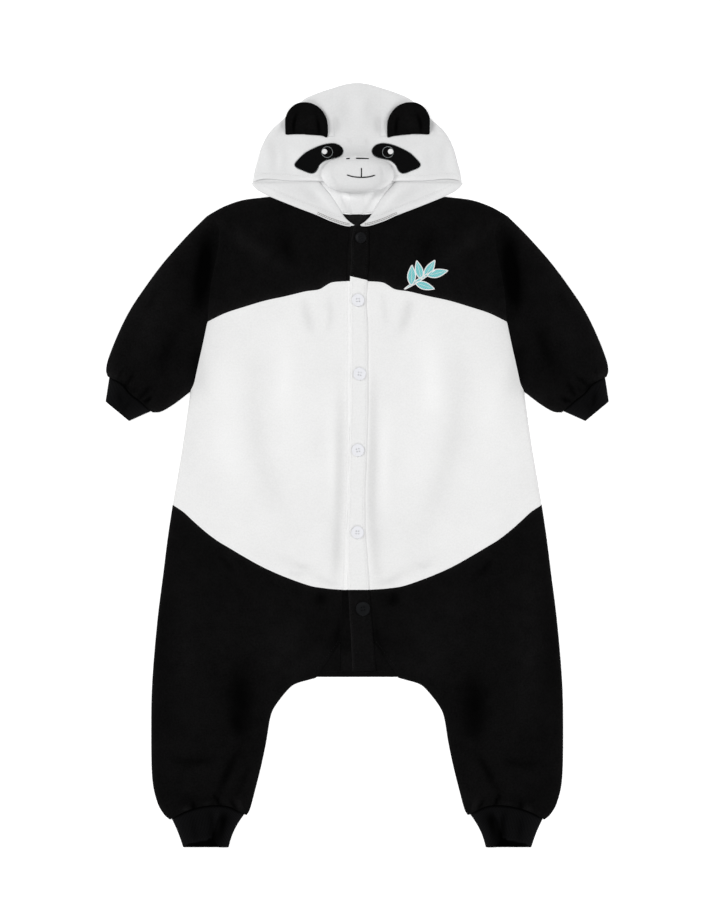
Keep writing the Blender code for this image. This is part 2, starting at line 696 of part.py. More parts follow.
def hood_back_strip(name):
    rows = [(y, nape_seam(y) - SEAM / 2) for y in (750, 640, 566, 502)]
    outline = [(w, y) for y, w in rows]
    return plate(name, mirror(outline), "fleece_white")


def hood_back(side, name):
    """Lower side panel: flat on the floor, its front part turned out over the shoulder."""
    edge = offset(rounded(HOOD_EDGE) + rounded(HOOD_EDGE_LOW)[1:], BACK_INSET, -1)

    def edge_at(along):
        for a, b in zip(edge, edge[1:]):
            if a[1] >= along >= b[1]:
                return mix(a, b, (a[1] - along) / (a[1] - b[1]))[0]
        return edge[-1][0]

    roll = LAPEL_ROLL[0][0]
    flat = []
    for y in (746, 730, 705, 675, 640, 600, LAPEL_FLOOR_END):
        inner, outer = nape_seam(y) + SEAM / 2, edge_at(y)
        split = inner + (outer - inner) * (roll - nape_seam(LAPEL_FLOOR_END)) / (
            edge_at(LAPEL_FLOOR_END) - nape_seam(LAPEL_FLOOR_END))
        flat.append([inner, (inner + split) / 2, split, (2 * split + outer) / 3,
                     (split + 2 * outer) / 3, outer])
        flat[-1] = [(x, y, CLOTH) for x in flat[-1]]
    split = flat[-1][2][0]

    # the part turned out: from the roll line to the rim
    rim = run(((flat[-1][-1][0], LAPEL_FLOOR_END),) + LAPEL_RIM, 10)
    roll_line = run(((split, LAPEL_FLOOR_END),) + LAPEL_ROLL[1:], 10)
    lapel = []
    for i, (a, b) in enumerate(zip(roll_line, rim)):
        row = [mix(a, b, t) for t in (0.0, 1 / 3, 2 / 3, 1.0)]
        if i == 0:
            row = [p[:2] for p in flat[-1][2:]]
        lapel.append([(p[0], p[1], lapel_height(*p)) for p in row])

    # the inside of the back, down to the neck seam
    inside = []
    for t in even(5):
        y_in = LAPEL_FLOOR_END + (502 + GAP - LAPEL_FLOOR_END) * t
        left = (nape_seam(y_in) + SEAM / 2, y_in)
        right = mix((split, LAPEL_FLOOR_END), (43, 508 + GAP), t)
        if 0 < t < 1:
            right = (right[0] - 1.0, right[1])
        row = [mix(left, right, s) for s in (0.0, 0.5, 1.0)]
        inside.append([(p[0], p[1], CLOTH) for p in row])
    inside[0] = flat[-1][:3]
    return sheet(name, [flat, lapel, inside], side, "fleece_white")


def dome(name, rings, finish):
    """A closed stuffed form: rings of equal length from the flat base up, with a cap point."""
    mesh = bmesh.new()
    verts = [[mesh.verts.new((x * MM, y * MM, z * MM)) for x, y, z in ring] for ring in rings]
    count = len(rings[0])
    for low, high in zip(verts, verts[1:]):
        for i in range(count):
            k = (i + 1) % count
            mesh.faces.new((low[i], low[k], high[k], high[i]))
    mesh.faces.new(verts[0][::-1])
    mesh.faces.new(verts[-1])
    bmesh.ops.recalc_face_normals(mesh, faces=mesh.faces)
    return make_object(name, mesh, finish)


def oval(centre, right, up, down, power, count):
    """A squared-off oval with its own reach up and down."""
    cx, cy = centre
    points = []
    for i in range(count):
        a = 2 * pi * i / count
        c, s = cos(a), sin(a)
        x = right * abs(c) ** power * (1 if c >= 0 else -1)
        y = (up if s >= 0 else down) * abs(s) ** power * (1 if s >= 0 else -1)
        points.append((cx + x, cy + y))
    return points


# Muzzle rings: height share, width share, reach up the face, reach down, shift down the face
MuzzleRing = namedtuple("MuzzleRing", "height width up down")
MUZZLE_RINGS = (
    MuzzleRing(0.00, 0.92, 0.93, 0.80),
    MuzzleRing(0.14, 1.00, 1.00, 0.95),
    MuzzleRing(0.42, 0.93, 1.00, 1.00),
    MuzzleRing(0.72, 0.74, 0.94, 0.96),
    MuzzleRing(0.92, 0.50, 0.74, 0.76),
    MuzzleRing(1.00, 0.24, 0.36, 0.38),
)


def muzzle(name):
    rings = []
    for ring in MUZZLE_RINGS:
        plan = oval((MUZZLE["across"], MUZZLE["along"]), MUZZLE["half_width"] * ring.width,
                    MUZZLE["up"] * ring.up, MUZZLE["down"] * ring.down, 0.82, 24)
        z = MUZZLE_BASE + MUZZLE_HEIGHT * ring.height
        rings.append([(x, y, z) for x, y in plan])
    return dome(name, rings, "fleece_white")


def nose(name):
    """A felt oval standing against the muzzle's upper slope."""
    face = MUZZLE["along"] + MUZZLE["up"] + GAP + NOSE["thick"]
    middle, half = (NOSE["low"] + NOSE["high"]) / 2, (NOSE["high"] - NOSE["low"]) / 2
    low, high = [], []
    for share in even(11):
        c = -cos(pi * share) * 0.985
        x, y = NOSE["across"] + NOSE["half_width"] * c, face - NOSE["bow"] * abs(c)
        rise = half * (1 - c * c) ** 0.5
        low.append((x, y, middle - rise))
        high.append((x, y, middle + rise))
    return sheet(name, [[low, high]], LEFT, "felt_black", thick=NOSE["thick"])


def ear(side, name):
    """A stuffed ear lying up the crown from its seam."""
    outline = [(side * x, y) for x, y in EAR_OUTLINE]
    cx = sum(p[0] for p in outline) / len(outline)
    cy = sum(p[1] for p in outline) / len(outline) - 4
    rings = []
    for rise, shrink in ((0.0, 0.93), (0.18, 1.0), (0.5, 0.94), (0.82, 0.72), (1.0, 0.36)):
        z = EAR_BASE + EAR_HEIGHT * rise
        rings.append([(cx + (x - cx) * shrink, cy + (y - cy) * shrink, z) for x, y in outline])
    return dome(name, rings, "fleece_black")


def eye_patch(side, name):
    """A felt patch on the face panel, its height taken from the panel's."""
    outline = at_shares(rounded(EYE_PATCH + EYE_PATCH[:1], 4), even(25))[:-1]
    lift = GAP + 0.1
    rings = []
    for z in (lift, lift + APPLIQUE):
        rings.append([(side * x, y, hood_height(x, y) + z) for x, y in outline])
    return dome(name, rings, "felt_black")


# ---- buttons and chest motif --------------------------------------------------------------
def button(spec):
    """A turned four-hole button with a raised rim."""
    r = spec.diameter / 2
    t = BUTTON_THICK
    # radius, height of the turned profile from the middle of the back round to the face
    profile = ((r * 0.8, 0), (r, 0.35 * t), (r * 0.97, 0.8 * t), (r * 0.84, t), (r * 0.64, 0.7 * t))
    rings = []
    for radius, z in profile:
        rings.append([(radius * cos(2 * pi * i / BUTTON_SIDES), radius * sin(2 * pi * i / BUTTON_SIDES), z)
                      for i in range(BUTTON_SIDES)])
    piece = dome(spec.name, rings, spec.finish)
    holes = bmesh.new()
    for i in range(4):
        a = pi / 4 + i * pi / 2
        made = bmesh.ops.create_cone(holes, cap_ends=True, segments=4, radius1=1.2 * MM, radius2=1.2 * MM,
                                     depth=4 * t * MM)
        bmesh.ops.translate(holes, verts=made["verts"], vec=(2.4 * cos(a) * MM, 2.4 * sin(a) * MM, 0))
    data = bpy.data.meshes.new(spec.name + "_holes")
    holes.to_mesh(data)
    holes.free()
    cutter = bpy.data.objects.new(spec.name + "_holes", data)
    bpy.context.scene.collection.objects.link(cutter)
    cutter.hide_render = True
    cutter.display_type = "WIRE"
    cut = piece.modifiers.new("Holes", "BOOLEAN")
    cut.operation = "DIFFERENCE"
    cut.object = cutter
    seat = BAND_TOP + GAP
    piece.location = (spec.across * MM, spec.along * MM, seat * MM)
    cutter.location = piece.location
    return piece


def leaf_outline(leaf, spread=0.0):
    """A lens with a pointed tip, fullest a little before its middle."""
    c, d = cos(radians(leaf.turn)), sin(radians(leaf.turn))
    sides = []
    for sign in (1, -1):
        for t in even(LEAF_POINTS):
            u = (leaf.length + 2 * spread) * t - spread
            v = sign * (leaf.width / 2 * sin(pi * t ** 0.85) + 0.4 + spread)
            sides.append((leaf.across + u * c - v * d, leaf.along + u * d + v * c))
    half = len(sides) // 2
    return sides[:half] + sides[:half - 1:-1]


def sprig(name):
    """The motif's leaves and stem in one piece, on the yoke's own height."""
    cx, cy = SPRIG_AT
    parts = []
    for i, leaf in enumerate(SPRIG):
        plan = [(cx + x, cy + y) for x, y in leaf_outline(leaf)]
        lift = 0.01 * i     # no two leaves share a face before they are joined
        rings = [[(x, y, z) for x, y in plan] for z in (-lift, APPLIQUE + lift)]
        parts.append(dome(name + str(i), rings, "patch_teal"))
    whole = parts[0]
    for part in parts[1:]:
        join = whole.modifiers.new("Join", "BOOLEAN")
        join.operation = "UNION"
        join.object = part
    solid = bpy.data.meshes.new_from_object(whole.evaluated_get(bpy.context.evaluated_depsgraph_get()))
    whole.modifiers.clear()
    for part in parts[1:]:
        bpy.data.objects.remove(part, do_unlink=True)
    b = bmesh.new()
    b.from_mesh(solid)
    for vert in b.verts:
        vert.co.z = APPLIQUE * MM if vert.co.z > APPLIQUE / 2 * MM else 0.0
    bmesh.ops.remove_doubles(b, verts=b.verts, dist=GAP / 3 * MM)
    bmesh.ops.dissolve_degenerate(b, edges=b.edges, dist=GAP / 3 * MM)
    bmesh.ops.dissolve_limit(b, angle_limit=radians(1), verts=b.verts, edges=b.edges)
    bmesh.ops.triangulate(b, faces=b.faces)
    for vert in b.verts:
        vert.co.z += (front_height(vert.co.x / MM, vert.co.y / MM) + 2 * GAP) * MM
    b.to_mesh(solid)
    b.free()
    whole.data = solid
    whole.name = name
    return whole


# ---- build --------------------------------------------------------------------------------
def main():
    for old in list(bpy.data.objects):
        bpy.data.objects.remove(old, do_unlink=True)

    back_yoke("back_yoke")
    back_body("back_body")
    gusset("crotch_gusset")
    for side, word in ((RIGHT, "right"), (LEFT, "left")):
        back_leg(side, "back_leg_" + word)
        front_yoke(side, "front_yoke_" + word)
        front_body(side, "front_body_" + word)
        front_leg(side, "front_leg_" + word)
        sleeve(side, "sleeve_" + word)
        wrist = cut_ends(arm_plan())[-1]
        cuff(side, "wrist_cuff_" + word, wrist[1:-1], WRIST_HEM, (0.6, -0.8), True)
        ankle = run(ANKLE_SEAM, COLS)
        cuff(side, "ankle_cuff_" + word, ankle[1:-1], ANKLE_HEM, (0.0, -1.0), False)
        hood_side(side, "hood_side_" + word)
        hood_back(side, "hood_back_" + word)
        ear(side, "ear_" + word)
        eye_patch(side, "eye_patch_" + word)
    stand_pieces()
    band_pieces()
    hood_crown("hood_crown")
    hood_back_strip("hood_back_strip")
    hood_band("hood_face_band")
    muzzle("muzzle")
    nose("nose")
    for spec in BUTTONS:
        button(spec)
    sprig("chest_sprig")


main()
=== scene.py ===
import bpy
import bmesh
import numpy as np
from math import cos, hypot, pi, radians, sin
from mathutils import Matrix, Vector
from mathutils.bvhtree import BVHTree


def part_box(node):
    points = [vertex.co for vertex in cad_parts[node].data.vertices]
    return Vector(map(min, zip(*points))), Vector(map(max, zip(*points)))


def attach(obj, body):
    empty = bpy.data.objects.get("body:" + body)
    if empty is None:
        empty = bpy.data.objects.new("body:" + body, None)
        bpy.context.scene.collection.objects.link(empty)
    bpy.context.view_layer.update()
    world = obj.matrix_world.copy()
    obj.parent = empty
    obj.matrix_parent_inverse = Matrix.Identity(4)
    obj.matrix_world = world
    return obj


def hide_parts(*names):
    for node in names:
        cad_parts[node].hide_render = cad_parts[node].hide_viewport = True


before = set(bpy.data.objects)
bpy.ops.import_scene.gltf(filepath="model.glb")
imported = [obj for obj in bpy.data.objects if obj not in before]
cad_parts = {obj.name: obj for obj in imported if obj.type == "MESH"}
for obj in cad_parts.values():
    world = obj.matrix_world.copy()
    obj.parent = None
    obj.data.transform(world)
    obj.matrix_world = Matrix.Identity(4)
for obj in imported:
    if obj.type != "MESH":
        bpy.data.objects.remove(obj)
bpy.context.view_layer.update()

# sizes in these tables are millimetres; across is the distance from the middle line
mm = 0.001
right, left = -1, 1
sideWord = {right: "right", left: "left"}
cloth = {
    "wall": 1.8,        # fleece
    "backWall": 1.4,    # pressed flat under the rest
    "lay": 6.2,         # top of the front layer over the floor
    "seam": -0.3,       # two pieces press into each other at a seam
    "roll": 9.0,        # width over which a closed edge rounds down
    "step": 4.4,        # spacing of the points over a panel
}


# curves and grids in plan, as arrays of points

def denseRun(points, steps=10):
    p = np.array(points, float)
    p = np.vstack([2 * p[0] - p[1], p, 2 * p[-1] - p[-2]])
    out = []
    for a, b, c, d in zip(p, p[1:], p[2:], p[3:]):
        for t in np.arange(steps) / steps:
            out.append(0.5 * (2 * b + (c - a) * t + (2 * a - 5 * b + 4 * c - d) * t ** 2
                              + (3 * b - a - 3 * c + d) * t ** 3))
    return np.array(out + [p[-2]])


def runLength(line):
    return np.concatenate([[0.0], np.cumsum(np.hypot(*np.diff(line[:, :2], axis=0).T))])


def sampled(line, shares):
    s = runLength(line)
    return np.stack([np.interp(np.asarray(shares) * s[-1], s, line[:, k]) for k in range(line.shape[1])], 1)


def smoothRun(points, shares):
    return sampled(denseRun(points), shares)


def crowded(length, ends=0.78):
    # shares of a length with points about a step apart, closer together at both ends
    count = max(int(length / cloth["step"]), 6)
    t = np.linspace(0, 1, count)
    return t - ends / (2 * pi) * np.sin(2 * pi * t)


def snapped(shares, *marks):
    shares = np.array(shares)
    for mark in marks:
        shares[np.argmin(abs(shares - mark))] = mark
    return shares


def inParts(runs, marks, shares):
    # several runs end to end, the run k taking the shares between its marks
    stops = [0.0] + list(marks) + [1.0]
    out = np.zeros((len(shares), 2))
    for points, a, b in zip(runs, stops, stops[1:]):
        here = (shares >= a - 1e-9) & (shares <= b + 1e-9)
        out[here] = smoothRun(points, (shares[here] - a) / (b - a))
    return out


def coons(top, bottom, inner, outer, u, v):
    u, v = np.asarray(u)[None, :, None], np.asarray(v)[:, None, None]
    return ((1 - v) * top[None] + v * bottom[None] + (1 - u) * inner[:, None] + u * outer[:, None]
            - (1 - u) * (1 - v) * top[0] - u * (1 - v) * top[-1]
            - (1 - u) * v * bottom[0] - u * v * bottom[-1])


def pulled(a, b, distance):
    way = b - a
    size = np.maximum(np.hypot(way[..., 0], way[..., 1]), 1e-6)[..., None]
    return a + way / size * distance


def moved(plan, inner=0.0, outer=0.0, top=0.0, bottom=0.0):
    # the grid's edges drawn in; a distance below 0 lets them out
    plan = plan.copy()
    if inner:
        plan[:, 0] = pulled(plan[:, 0], plan[:, 1], inner)
    if outer:
        plan[:, -1] = pulled(plan[:, -1], plan[:, -2], outer)
    if top:
        plan[0] = pulled(plan[0], plan[1], top)
    if bottom:
        plan[-1] = pulled(plan[-1], plan[-2], bottom)
    return plan


def bothHalves(plan):
    return np.concatenate([plan[:, :0:-1] * (-1, 1), plan], 1)


# heights

def swell(x, y, size, turn):
    # a slow uneven wave with no direction of its own
    total = 0.0
    for k in range(7):
        a = 2.4 * k + turn
        total = total + np.sin((x * cos(a) + y * sin(a)) / size * (1 + 0.23 * k) + 1.7 * k * turn)
    return total / 7


def foldHeight(x, y, folds, sway=0.0):
    # each fold is its route in plan, its width and its rise
    total = np.zeros(x.shape)
    for k, (path, width, rise) in enumerate(folds):
        line = denseRun(path, 4)
        s = runLength(line)
        margin = 2.6 * width        # past this a fold is too low to see
        near = ((x > line[:, 0].min() - margin) & (x < line[:, 0].max() + margin)
                & (y > line[:, 1].min() - margin) & (y < line[:, 1].max() + margin))
        if not near.any():
            continue
        px, py = x[near], y[near]
        best, share = np.full(px.shape, 1e9), np.zeros(px.shape)
        for i in range(len(line) - 1):
            a, d = line[i], line[i + 1] - line[i]
            t = np.clip(((px - a[0]) * d[0] + (py - a[1]) * d[1]) / (d @ d), 0, 1)
            far = np.hypot(px - a[0] - t * d[0], py - a[1] - t * d[1])
            closer = far < best
            best = np.where(closer, far, best)
            share = np.where(closer, (s[i] + t * (s[i + 1] - s[i])) / s[-1], share)
        taper = np.sin(pi * np.clip(share, 0.03, 0.97)) ** 0.8
        vary = 1 + 0.18 * sin(3.1 * k + sway)
        total[near] += rise * vary * taper * bell(best, width)
    return total


def bell(distance, width):
    return np.exp(-(distance / width) ** 2)


def dipped(z, distance, depth, width):
    # a sewn seam draws the cloth down beside it
    return z - depth * bell(distance, width)


def quarterRound(t):
    t = np.clip(t, 0, 1)
    return np.sqrt(np.clip(1 - (1 - t) ** 2, 0, 1))


def rolled(z, distance):
    # a closed edge rounds down to the floor
    return z * quarterRound(distance / cloth["roll"])


def softStep(t):
    t = np.clip(t, 0, 1)
    return t * t * (3 - 2 * t)


# meshes

mergeWithin = 0.02 * mm


def linked(name, mesh):
    piece = bpy.data.objects.new(name, mesh)
    bpy.context.scene.collection.objects.link(piece)
    return piece


def meshFrom(name, b):
    # what is in the bmesh, its faces outward
    bmesh.ops.recalc_face_normals(b, faces=b.faces)
    mesh = bpy.data.meshes.new(name)
    b.to_mesh(mesh)
    b.free()
    return mesh


def gridMesh(name, grids, closed=False, uvScale=None, paintedShades=None):
    # quads over grids of points in mm; closed joins each row's ends; the mesh faces up or outward
    b = bmesh.new()
    uv = b.loops.layers.uv.new("cut") if uvScale else None
    # each point keeps a value of painted shade and painted light, which darken and lighten its colour
    paintedShadeLayer = b.verts.layers.float.new("napAndPaintedShade")
    for n, grid in enumerate(grids):
        rows, cols = grid.shape[:2]
        verts = [[b.verts.new(p * mm) for p in row] for row in grid]
        if paintedShades is not None and paintedShades[n] is not None:
            for line, shades in zip(verts, paintedShades[n]):
                for vert, shade in zip(line, shades):
                    vert[paintedShadeLayer] = shade
        ring = np.concatenate([grid, grid[:, :1]], 1) if closed else grid
        across = np.concatenate([np.zeros((rows, 1)),
                                 np.cumsum(np.linalg.norm(np.diff(ring, axis=1), axis=2), 1)], 1)
        down = np.concatenate([[0.0], np.cumsum(np.linalg.norm(np.diff(grid, axis=0), axis=2).mean(1))])
        for i in range(rows - 1):
            for j in range(cols if closed else cols - 1):
                k = (j + 1) % cols
                face = b.faces.new((verts[i][j], verts[i + 1][j], verts[i + 1][k], verts[i][k]))
                face.smooth = True
                if uv:
                    spots = ((across[i, j], down[i]), (across[i, j], down[i + 1]),
                             (across[i, j + 1], down[i + 1]), (across[i, j + 1], down[i]))
                    for loop, spot in zip(face.loops, spots):
                        loop[uv].uv = (spot[0] * mm, spot[1] * mm)
    bmesh.ops.remove_doubles(b, verts=b.verts, dist=mergeWithin)
    bmesh.ops.dissolve_degenerate(b, edges=b.edges, dist=mergeWithin / 20)
    if closed:
        return meshFrom(name, b)
    if sum(f.normal.z * f.calc_area() * f.calc_center_median().z for f in b.faces) < 0:
        bmesh.ops.reverse_faces(b, faces=b.faces)
    mesh = bpy.data.meshes.new(name)
    b.to_mesh(mesh)
    b.free()
    return mesh


def thickened(piece, wall, lowest=0.0):
    # the wall grows inward from the outer face, and nothing of it goes under what it lies on
    solid = piece.modifiers.new("wall", "SOLIDIFY")
    solid.thickness = wall * mm
    solid.offset = -1
    mesh = bpy.data.meshes.new_from_object(piece.evaluated_get(bpy.context.evaluated_depsgraph_get()))
    piece.modifiers.clear()
    piece.data = mesh
    mesh.set_sharp_from_angle(angle=radians(52))        # the cut edges stay crisp
    for vert in mesh.vertices:
        vert.co.z = max(vert.co.z, lowest * mm)


def finished(piece, look, nodes=()):
    piece.data.materials.clear()
    piece.data.materials.append(looks[look])
    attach(piece, "root")
    if nodes:
        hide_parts(*nodes)
    return piece


goesWith = {}       # stitching and trim that belong to a sheet, by the sheet's name
flatShare = 0.98    # the most of its cut's rectangle that a piece may fill


def madePiece(name, b, look, nodes=()):
    return finished(linked(name, meshFrom(name, b)), look, nodes)


def clothPiece(name, grids, look, wall=None, closed=False, ribs=False, paintedShades=None,
               lowest=0.0, cutLength=None):
    # one cut piece of cloth; its flat size is its spread in plan, or all round on a tube, and
    # cutLength is the run along a piece that is folded over; the area is its own surface's
    piece = linked(name + "_cloth", gridMesh(name + "_cloth", grids, closed, ribs, paintedShades))
    area = sum(f.area for f in piece.data.polygons)
    spots = np.concatenate([g.reshape(-1, 3) for g in grids])
    if closed:
        ring = np.concatenate([grids[0], grids[0][:, :1]], 1)
        width = np.linalg.norm(np.diff(ring, axis=1), axis=2).sum(1).max() * mm
        length = np.linalg.norm(np.diff(grids[0], axis=0), axis=2).sum(0).max() * mm
    else:
        width, length = np.ptp(spots[:, 0]) * mm, (cutLength or np.ptp(spots[:, 1])) * mm
    if area > flatShare * width * length:
        grow = (area / (flatShare * width * length)) ** 0.5
        width, length = width * grow, length * grow
    thickened(piece, wall or cloth["wall"], lowest)
    finished(piece, look, [name])
    return piece


class Surface:
    # the upper side of finished pieces, to lay stitching and patches on
    def __init__(self, *pieces):
        self.trees = [BVHTree.FromPolygons([v.co for v in p.data.vertices],
                                           [f.vertices for f in p.data.polygons]) for p in pieces]

    def height(self, x, y):
        best = None
        for tree in self.trees:
            hit = tree.ray_cast(Vector((x * mm, y * mm, 0.3)), Vector((0, 0, -1)))[0]
            if hit is not None and (best is None or hit.z > best):
                best = hit.z
        return None if best is None else best / mm


def overCloths(*names):
    return Surface(*[bpy.data.objects[name + "_cloth"] for name in names])


def tubeRings(line, radius, sides=6, taper=True):
    # rings round a line of points in mm
    line = np.asarray(line, float)
    rings = []
    for i, p in enumerate(line):
        way = line[min(i + 1, len(line) - 1)] - line[max(i - 1, 0)]
        way /= np.linalg.norm(way) or 1.0
        side = np.cross(way, (0, 0, 1))
        side /= np.linalg.norm(side) or 1.0
        lift = np.cross(side, way)
        r = radius * (0.55 if taper and i in (0, len(line) - 1) else 1.0)
        rings.append([p + r * (cos(a) * side + sin(a) * lift) for a in np.arange(sides) * 2 * pi / sides])
    return rings


def loft(b, rings, unit=mm):
    # rings of points joined one after another, with both ends closed
    verts = [[b.verts.new(np.asarray(p) * unit) for p in ring] for ring in rings]
    sides = len(rings[0])
    for low, high in zip(verts, verts[1:]):
        for i in range(sides):
            k = (i + 1) % sides
            b.faces.new((low[i], low[k], high[k], high[i])).smooth = True
    b.faces.new(verts[0][::-1])
    b.faces.new(verts[-1])


def stitchRow(b, path, surface, stitch=3.4, space=1.5, radius=0.42, sink=0.1, smooth=True):
    # short stitches along a path in plan, each lying on the surface
    line = denseRun(path) if smooth else np.array(path, float)
    total = runLength(line)[-1]
    count = max(int(total / (stitch + space)), 1)
    for k in range(count):
        start = k * total / count
        shares = (start + np.array([0.0, 0.33, 0.67, 1.0]) * stitch) / total
        if shares[-1] > 1:
            break
        spots = sampled(line, shares)
        heights = [surface.height(x, y) for x, y in spots]
        if None in heights or np.ptp(heights) > 1.2:
            continue
        bow = np.array([-0.25, 0.0, 0.0, -0.25]) * radius
        loft(b, tubeRings([(x, y, z + radius - sink + c) for (x, y), z, c in zip(spots, heights, bow)],
                          radius, sides=5))


def stitchPiece(name, paths, surface, look, slotName, sheetName=None, **sizes):
    b = bmesh.new()
    for path in paths:
        stitchRow(b, path, surface, **sizes)
    piece = madePiece(name, b, look)
    if sheetName:
        goesWith.setdefault(sheetName, []).append(piece)
    return piece


# shared shading groups

def newGroup(name, *settings):
    # a pattern takes a place and its own settings, and gives a height and a shade
    group = bpy.data.node_groups.new(name, "ShaderNodeTree")
    group.interface.new_socket("Vector", in_out="INPUT", socket_type="NodeSocketVector")
    for label, value in settings:
        made = group.interface.new_socket(label, in_out="INPUT", socket_type="NodeSocketFloat")
        made.default_value = value
    for label in ("Height", "Shade"):
        group.interface.new_socket(label, in_out="OUTPUT", socket_type="NodeSocketFloat")
    return group, group.nodes.new("NodeGroupInput"), group.nodes.new("NodeGroupOutput")


def noiseNode(tree, vector, scale, detail=3.0, roughness=0.55):
    node = tree.nodes.new("ShaderNodeTexNoise")
    node.inputs["Scale"].default_value = scale
    node.inputs["Detail"].default_value = detail
    node.inputs["Roughness"].default_value = roughness
    tree.links.new(vector, node.inputs["Vector"])
    return node.outputs["Fac"]


def mathNode(tree, a, b, operation="MULTIPLY"):
    node = tree.nodes.new("ShaderNodeMath")
    node.operation = operation
    for socket, value in zip(node.inputs, (a, b)):
        if isinstance(value, (int, float)):
            socket.default_value = value
        else:
            tree.links.new(value, socket)
    return node.outputs[0]


def makeNapGroup():
    # brushed fleece: lint clumps, fine fibres and a slow change of shade where the nap lies over
    group, start, end = newGroup("brushedNap", ("Clump size", 1.0), ("Brush marks", 0.15))
    spread = group.nodes.new("ShaderNodeVectorMath")
    spread.operation = "SCALE"
    group.links.new(start.outputs["Vector"], spread.inputs[0])
    group.links.new(start.outputs["Clump size"], spread.inputs["Scale"])
    vector = spread.outputs[0]
    clumps = noiseNode(group, vector, 290, 3)
    fibres = noiseNode(group, vector, 1300, 2, 0.7)
    brushed = noiseNode(group, vector, 44, 4, 0.65)
    height = mathNode(group, mathNode(group, clumps, 0.62), mathNode(group, fibres, 0.38), "ADD")
    marks = mathNode(group, mathNode(group, brushed, 0.5, "SUBTRACT"), start.outputs["Brush marks"])
    shade = mathNode(group, height, marks, "ADD")
    group.links.new(height, end.inputs["Height"])
    group.links.new(shade, end.inputs["Shade"])
    return group


def makeRibGroup():
    # knitted ribs along the cuff, with small stitches down each rib
    group, start, end = newGroup("ribKnit", ("Ribs per metre", 330.0))
    split = group.nodes.new("ShaderNodeSeparateXYZ")
    group.links.new(start.outputs["Vector"], split.inputs[0])
    turns = mathNode(group, start.outputs["Ribs per metre"], 2 * pi)
    ribs = mathNode(group, mathNode(group, split.outputs["X"], turns), 0.0, "SINE")
    rows = mathNode(group, mathNode(group, split.outputs["Y"], 4200.0), 0.0, "SINE")
    height = mathNode(group, mathNode(group, ribs, 0.42), mathNode(group, rows, 0.08), "ADD")
    fuzz = noiseNode(group, start.outputs["Vector"], 900, 2)
    total = mathNode(group, mathNode(group, height, 0.5, "ADD"), mathNode(group, fuzz, 0.2), "ADD")
    group.links.new(total, end.inputs["Height"])
    group.links.new(total, end.inputs["Shade"])
    return group


def makeStitchGroup():
    # satin stitch: fine parallel threads
    group, start, end = newGroup("satinThread", ("Threads per metre", 1800.0))
    split = group.nodes.new("ShaderNodeSeparateXYZ")
    group.links.new(start.outputs["Vector"], split.inputs[0])
    slant = mathNode(group, split.outputs["X"], mathNode(group, split.outputs["Y"], 0.6), "ADD")
    turns = mathNode(group, slant, start.outputs["Threads per metre"])
    wave = mathNode(group, turns, 0.0, "SINE")
    height = mathNode(group, mathNode(group, wave, 0.35), 0.5, "ADD")
    mottle = noiseNode(group, start.outputs["Vector"], 500, 2)
    shade = mathNode(group, mathNode(group, height, 0.6), mathNode(group, mottle, 0.4), "ADD")
    group.links.new(height, end.inputs["Height"])
    group.links.new(shade, end.inputs["Shade"])
    return group


groups = {"napAndPaintedShade": makeNapGroup(), "rib": makeRibGroup(), "satin": makeStitchGroup()}


shadeSpan = (0.3, 0.7)      # the shades at which the dark and the light colour are reached


def makeLook(name, group, dark, light, rough, bump, settings, coords="Object", extra=None, paintedShadeGain=0.0):
    # one finish: the group's shade runs from the dark colour to the light one, its height is the bump;
    # the gain sets how far the painted shade and painted light kept in each piece's attribute darken and
    # lighten the colour
    look = bpy.data.materials.new(name)
    look.use_nodes = True
    tree = look.node_tree
    shader = tree.nodes["Principled BSDF"]
    place = tree.nodes.new("ShaderNodeTexCoord")
    node = tree.nodes.new("ShaderNodeGroup")
    node.node_tree = groups[group]
    tree.links.new(place.outputs[coords], node.inputs["Vector"])
    for label, value in (extra or {}).items():
        node.inputs[label].default_value = value
    ramp = tree.nodes.new("ShaderNodeValToRGB")
    for stop, position, colour in zip(ramp.color_ramp.elements, shadeSpan, (dark, light)):
        stop.position = position
        stop.color = (*colour, 1)
    tree.links.new(node.outputs["Shade"], ramp.inputs["Fac"])
    if paintedShadeGain:
        # painted shade and painted light from the piece's attribute scale the base colour
        paintedShade = tree.nodes.new("ShaderNodeAttribute")
        paintedShade.attribute_name = "napAndPaintedShade"
        gain = tree.nodes.new("ShaderNodeMath")
        gain.operation = "MULTIPLY_ADD"
        gain.inputs[1].default_value, gain.inputs[2].default_value = paintedShadeGain, 1.0
        tree.links.new(paintedShade.outputs["Fac"], gain.inputs[0])
        tint = tree.nodes.new("ShaderNodeVectorMath")
        tint.operation = "SCALE"
        tree.links.new(ramp.outputs["Color"], tint.inputs[0])
        tree.links.new(gain.outputs[0], tint.inputs["Scale"])
        tree.links.new(tint.outputs[0], shader.inputs["Base Color"])
    else:
        tree.links.new(ramp.outputs["Color"], shader.inputs["Base Color"])
    roughness = tree.nodes.new("ShaderNodeMapRange")
    roughness.inputs["To Min"].default_value, roughness.inputs["To Max"].default_value = rough
    tree.links.new(node.outputs["Shade"], roughness.inputs["Value"])
    tree.links.new(roughness.outputs["Result"], shader.inputs["Roughness"])
    relief = tree.nodes.new("ShaderNodeBump")
    relief.inputs["Strength"].default_value, relief.inputs["Distance"].default_value = bump
    tree.links.new(node.outputs["Height"], relief.inputs["Height"])
    tree.links.new(relief.outputs["Normal"], shader.inputs["Normal"])
    for label, value in settings.items():
        shader.inputs[label].default_value = value
    return look


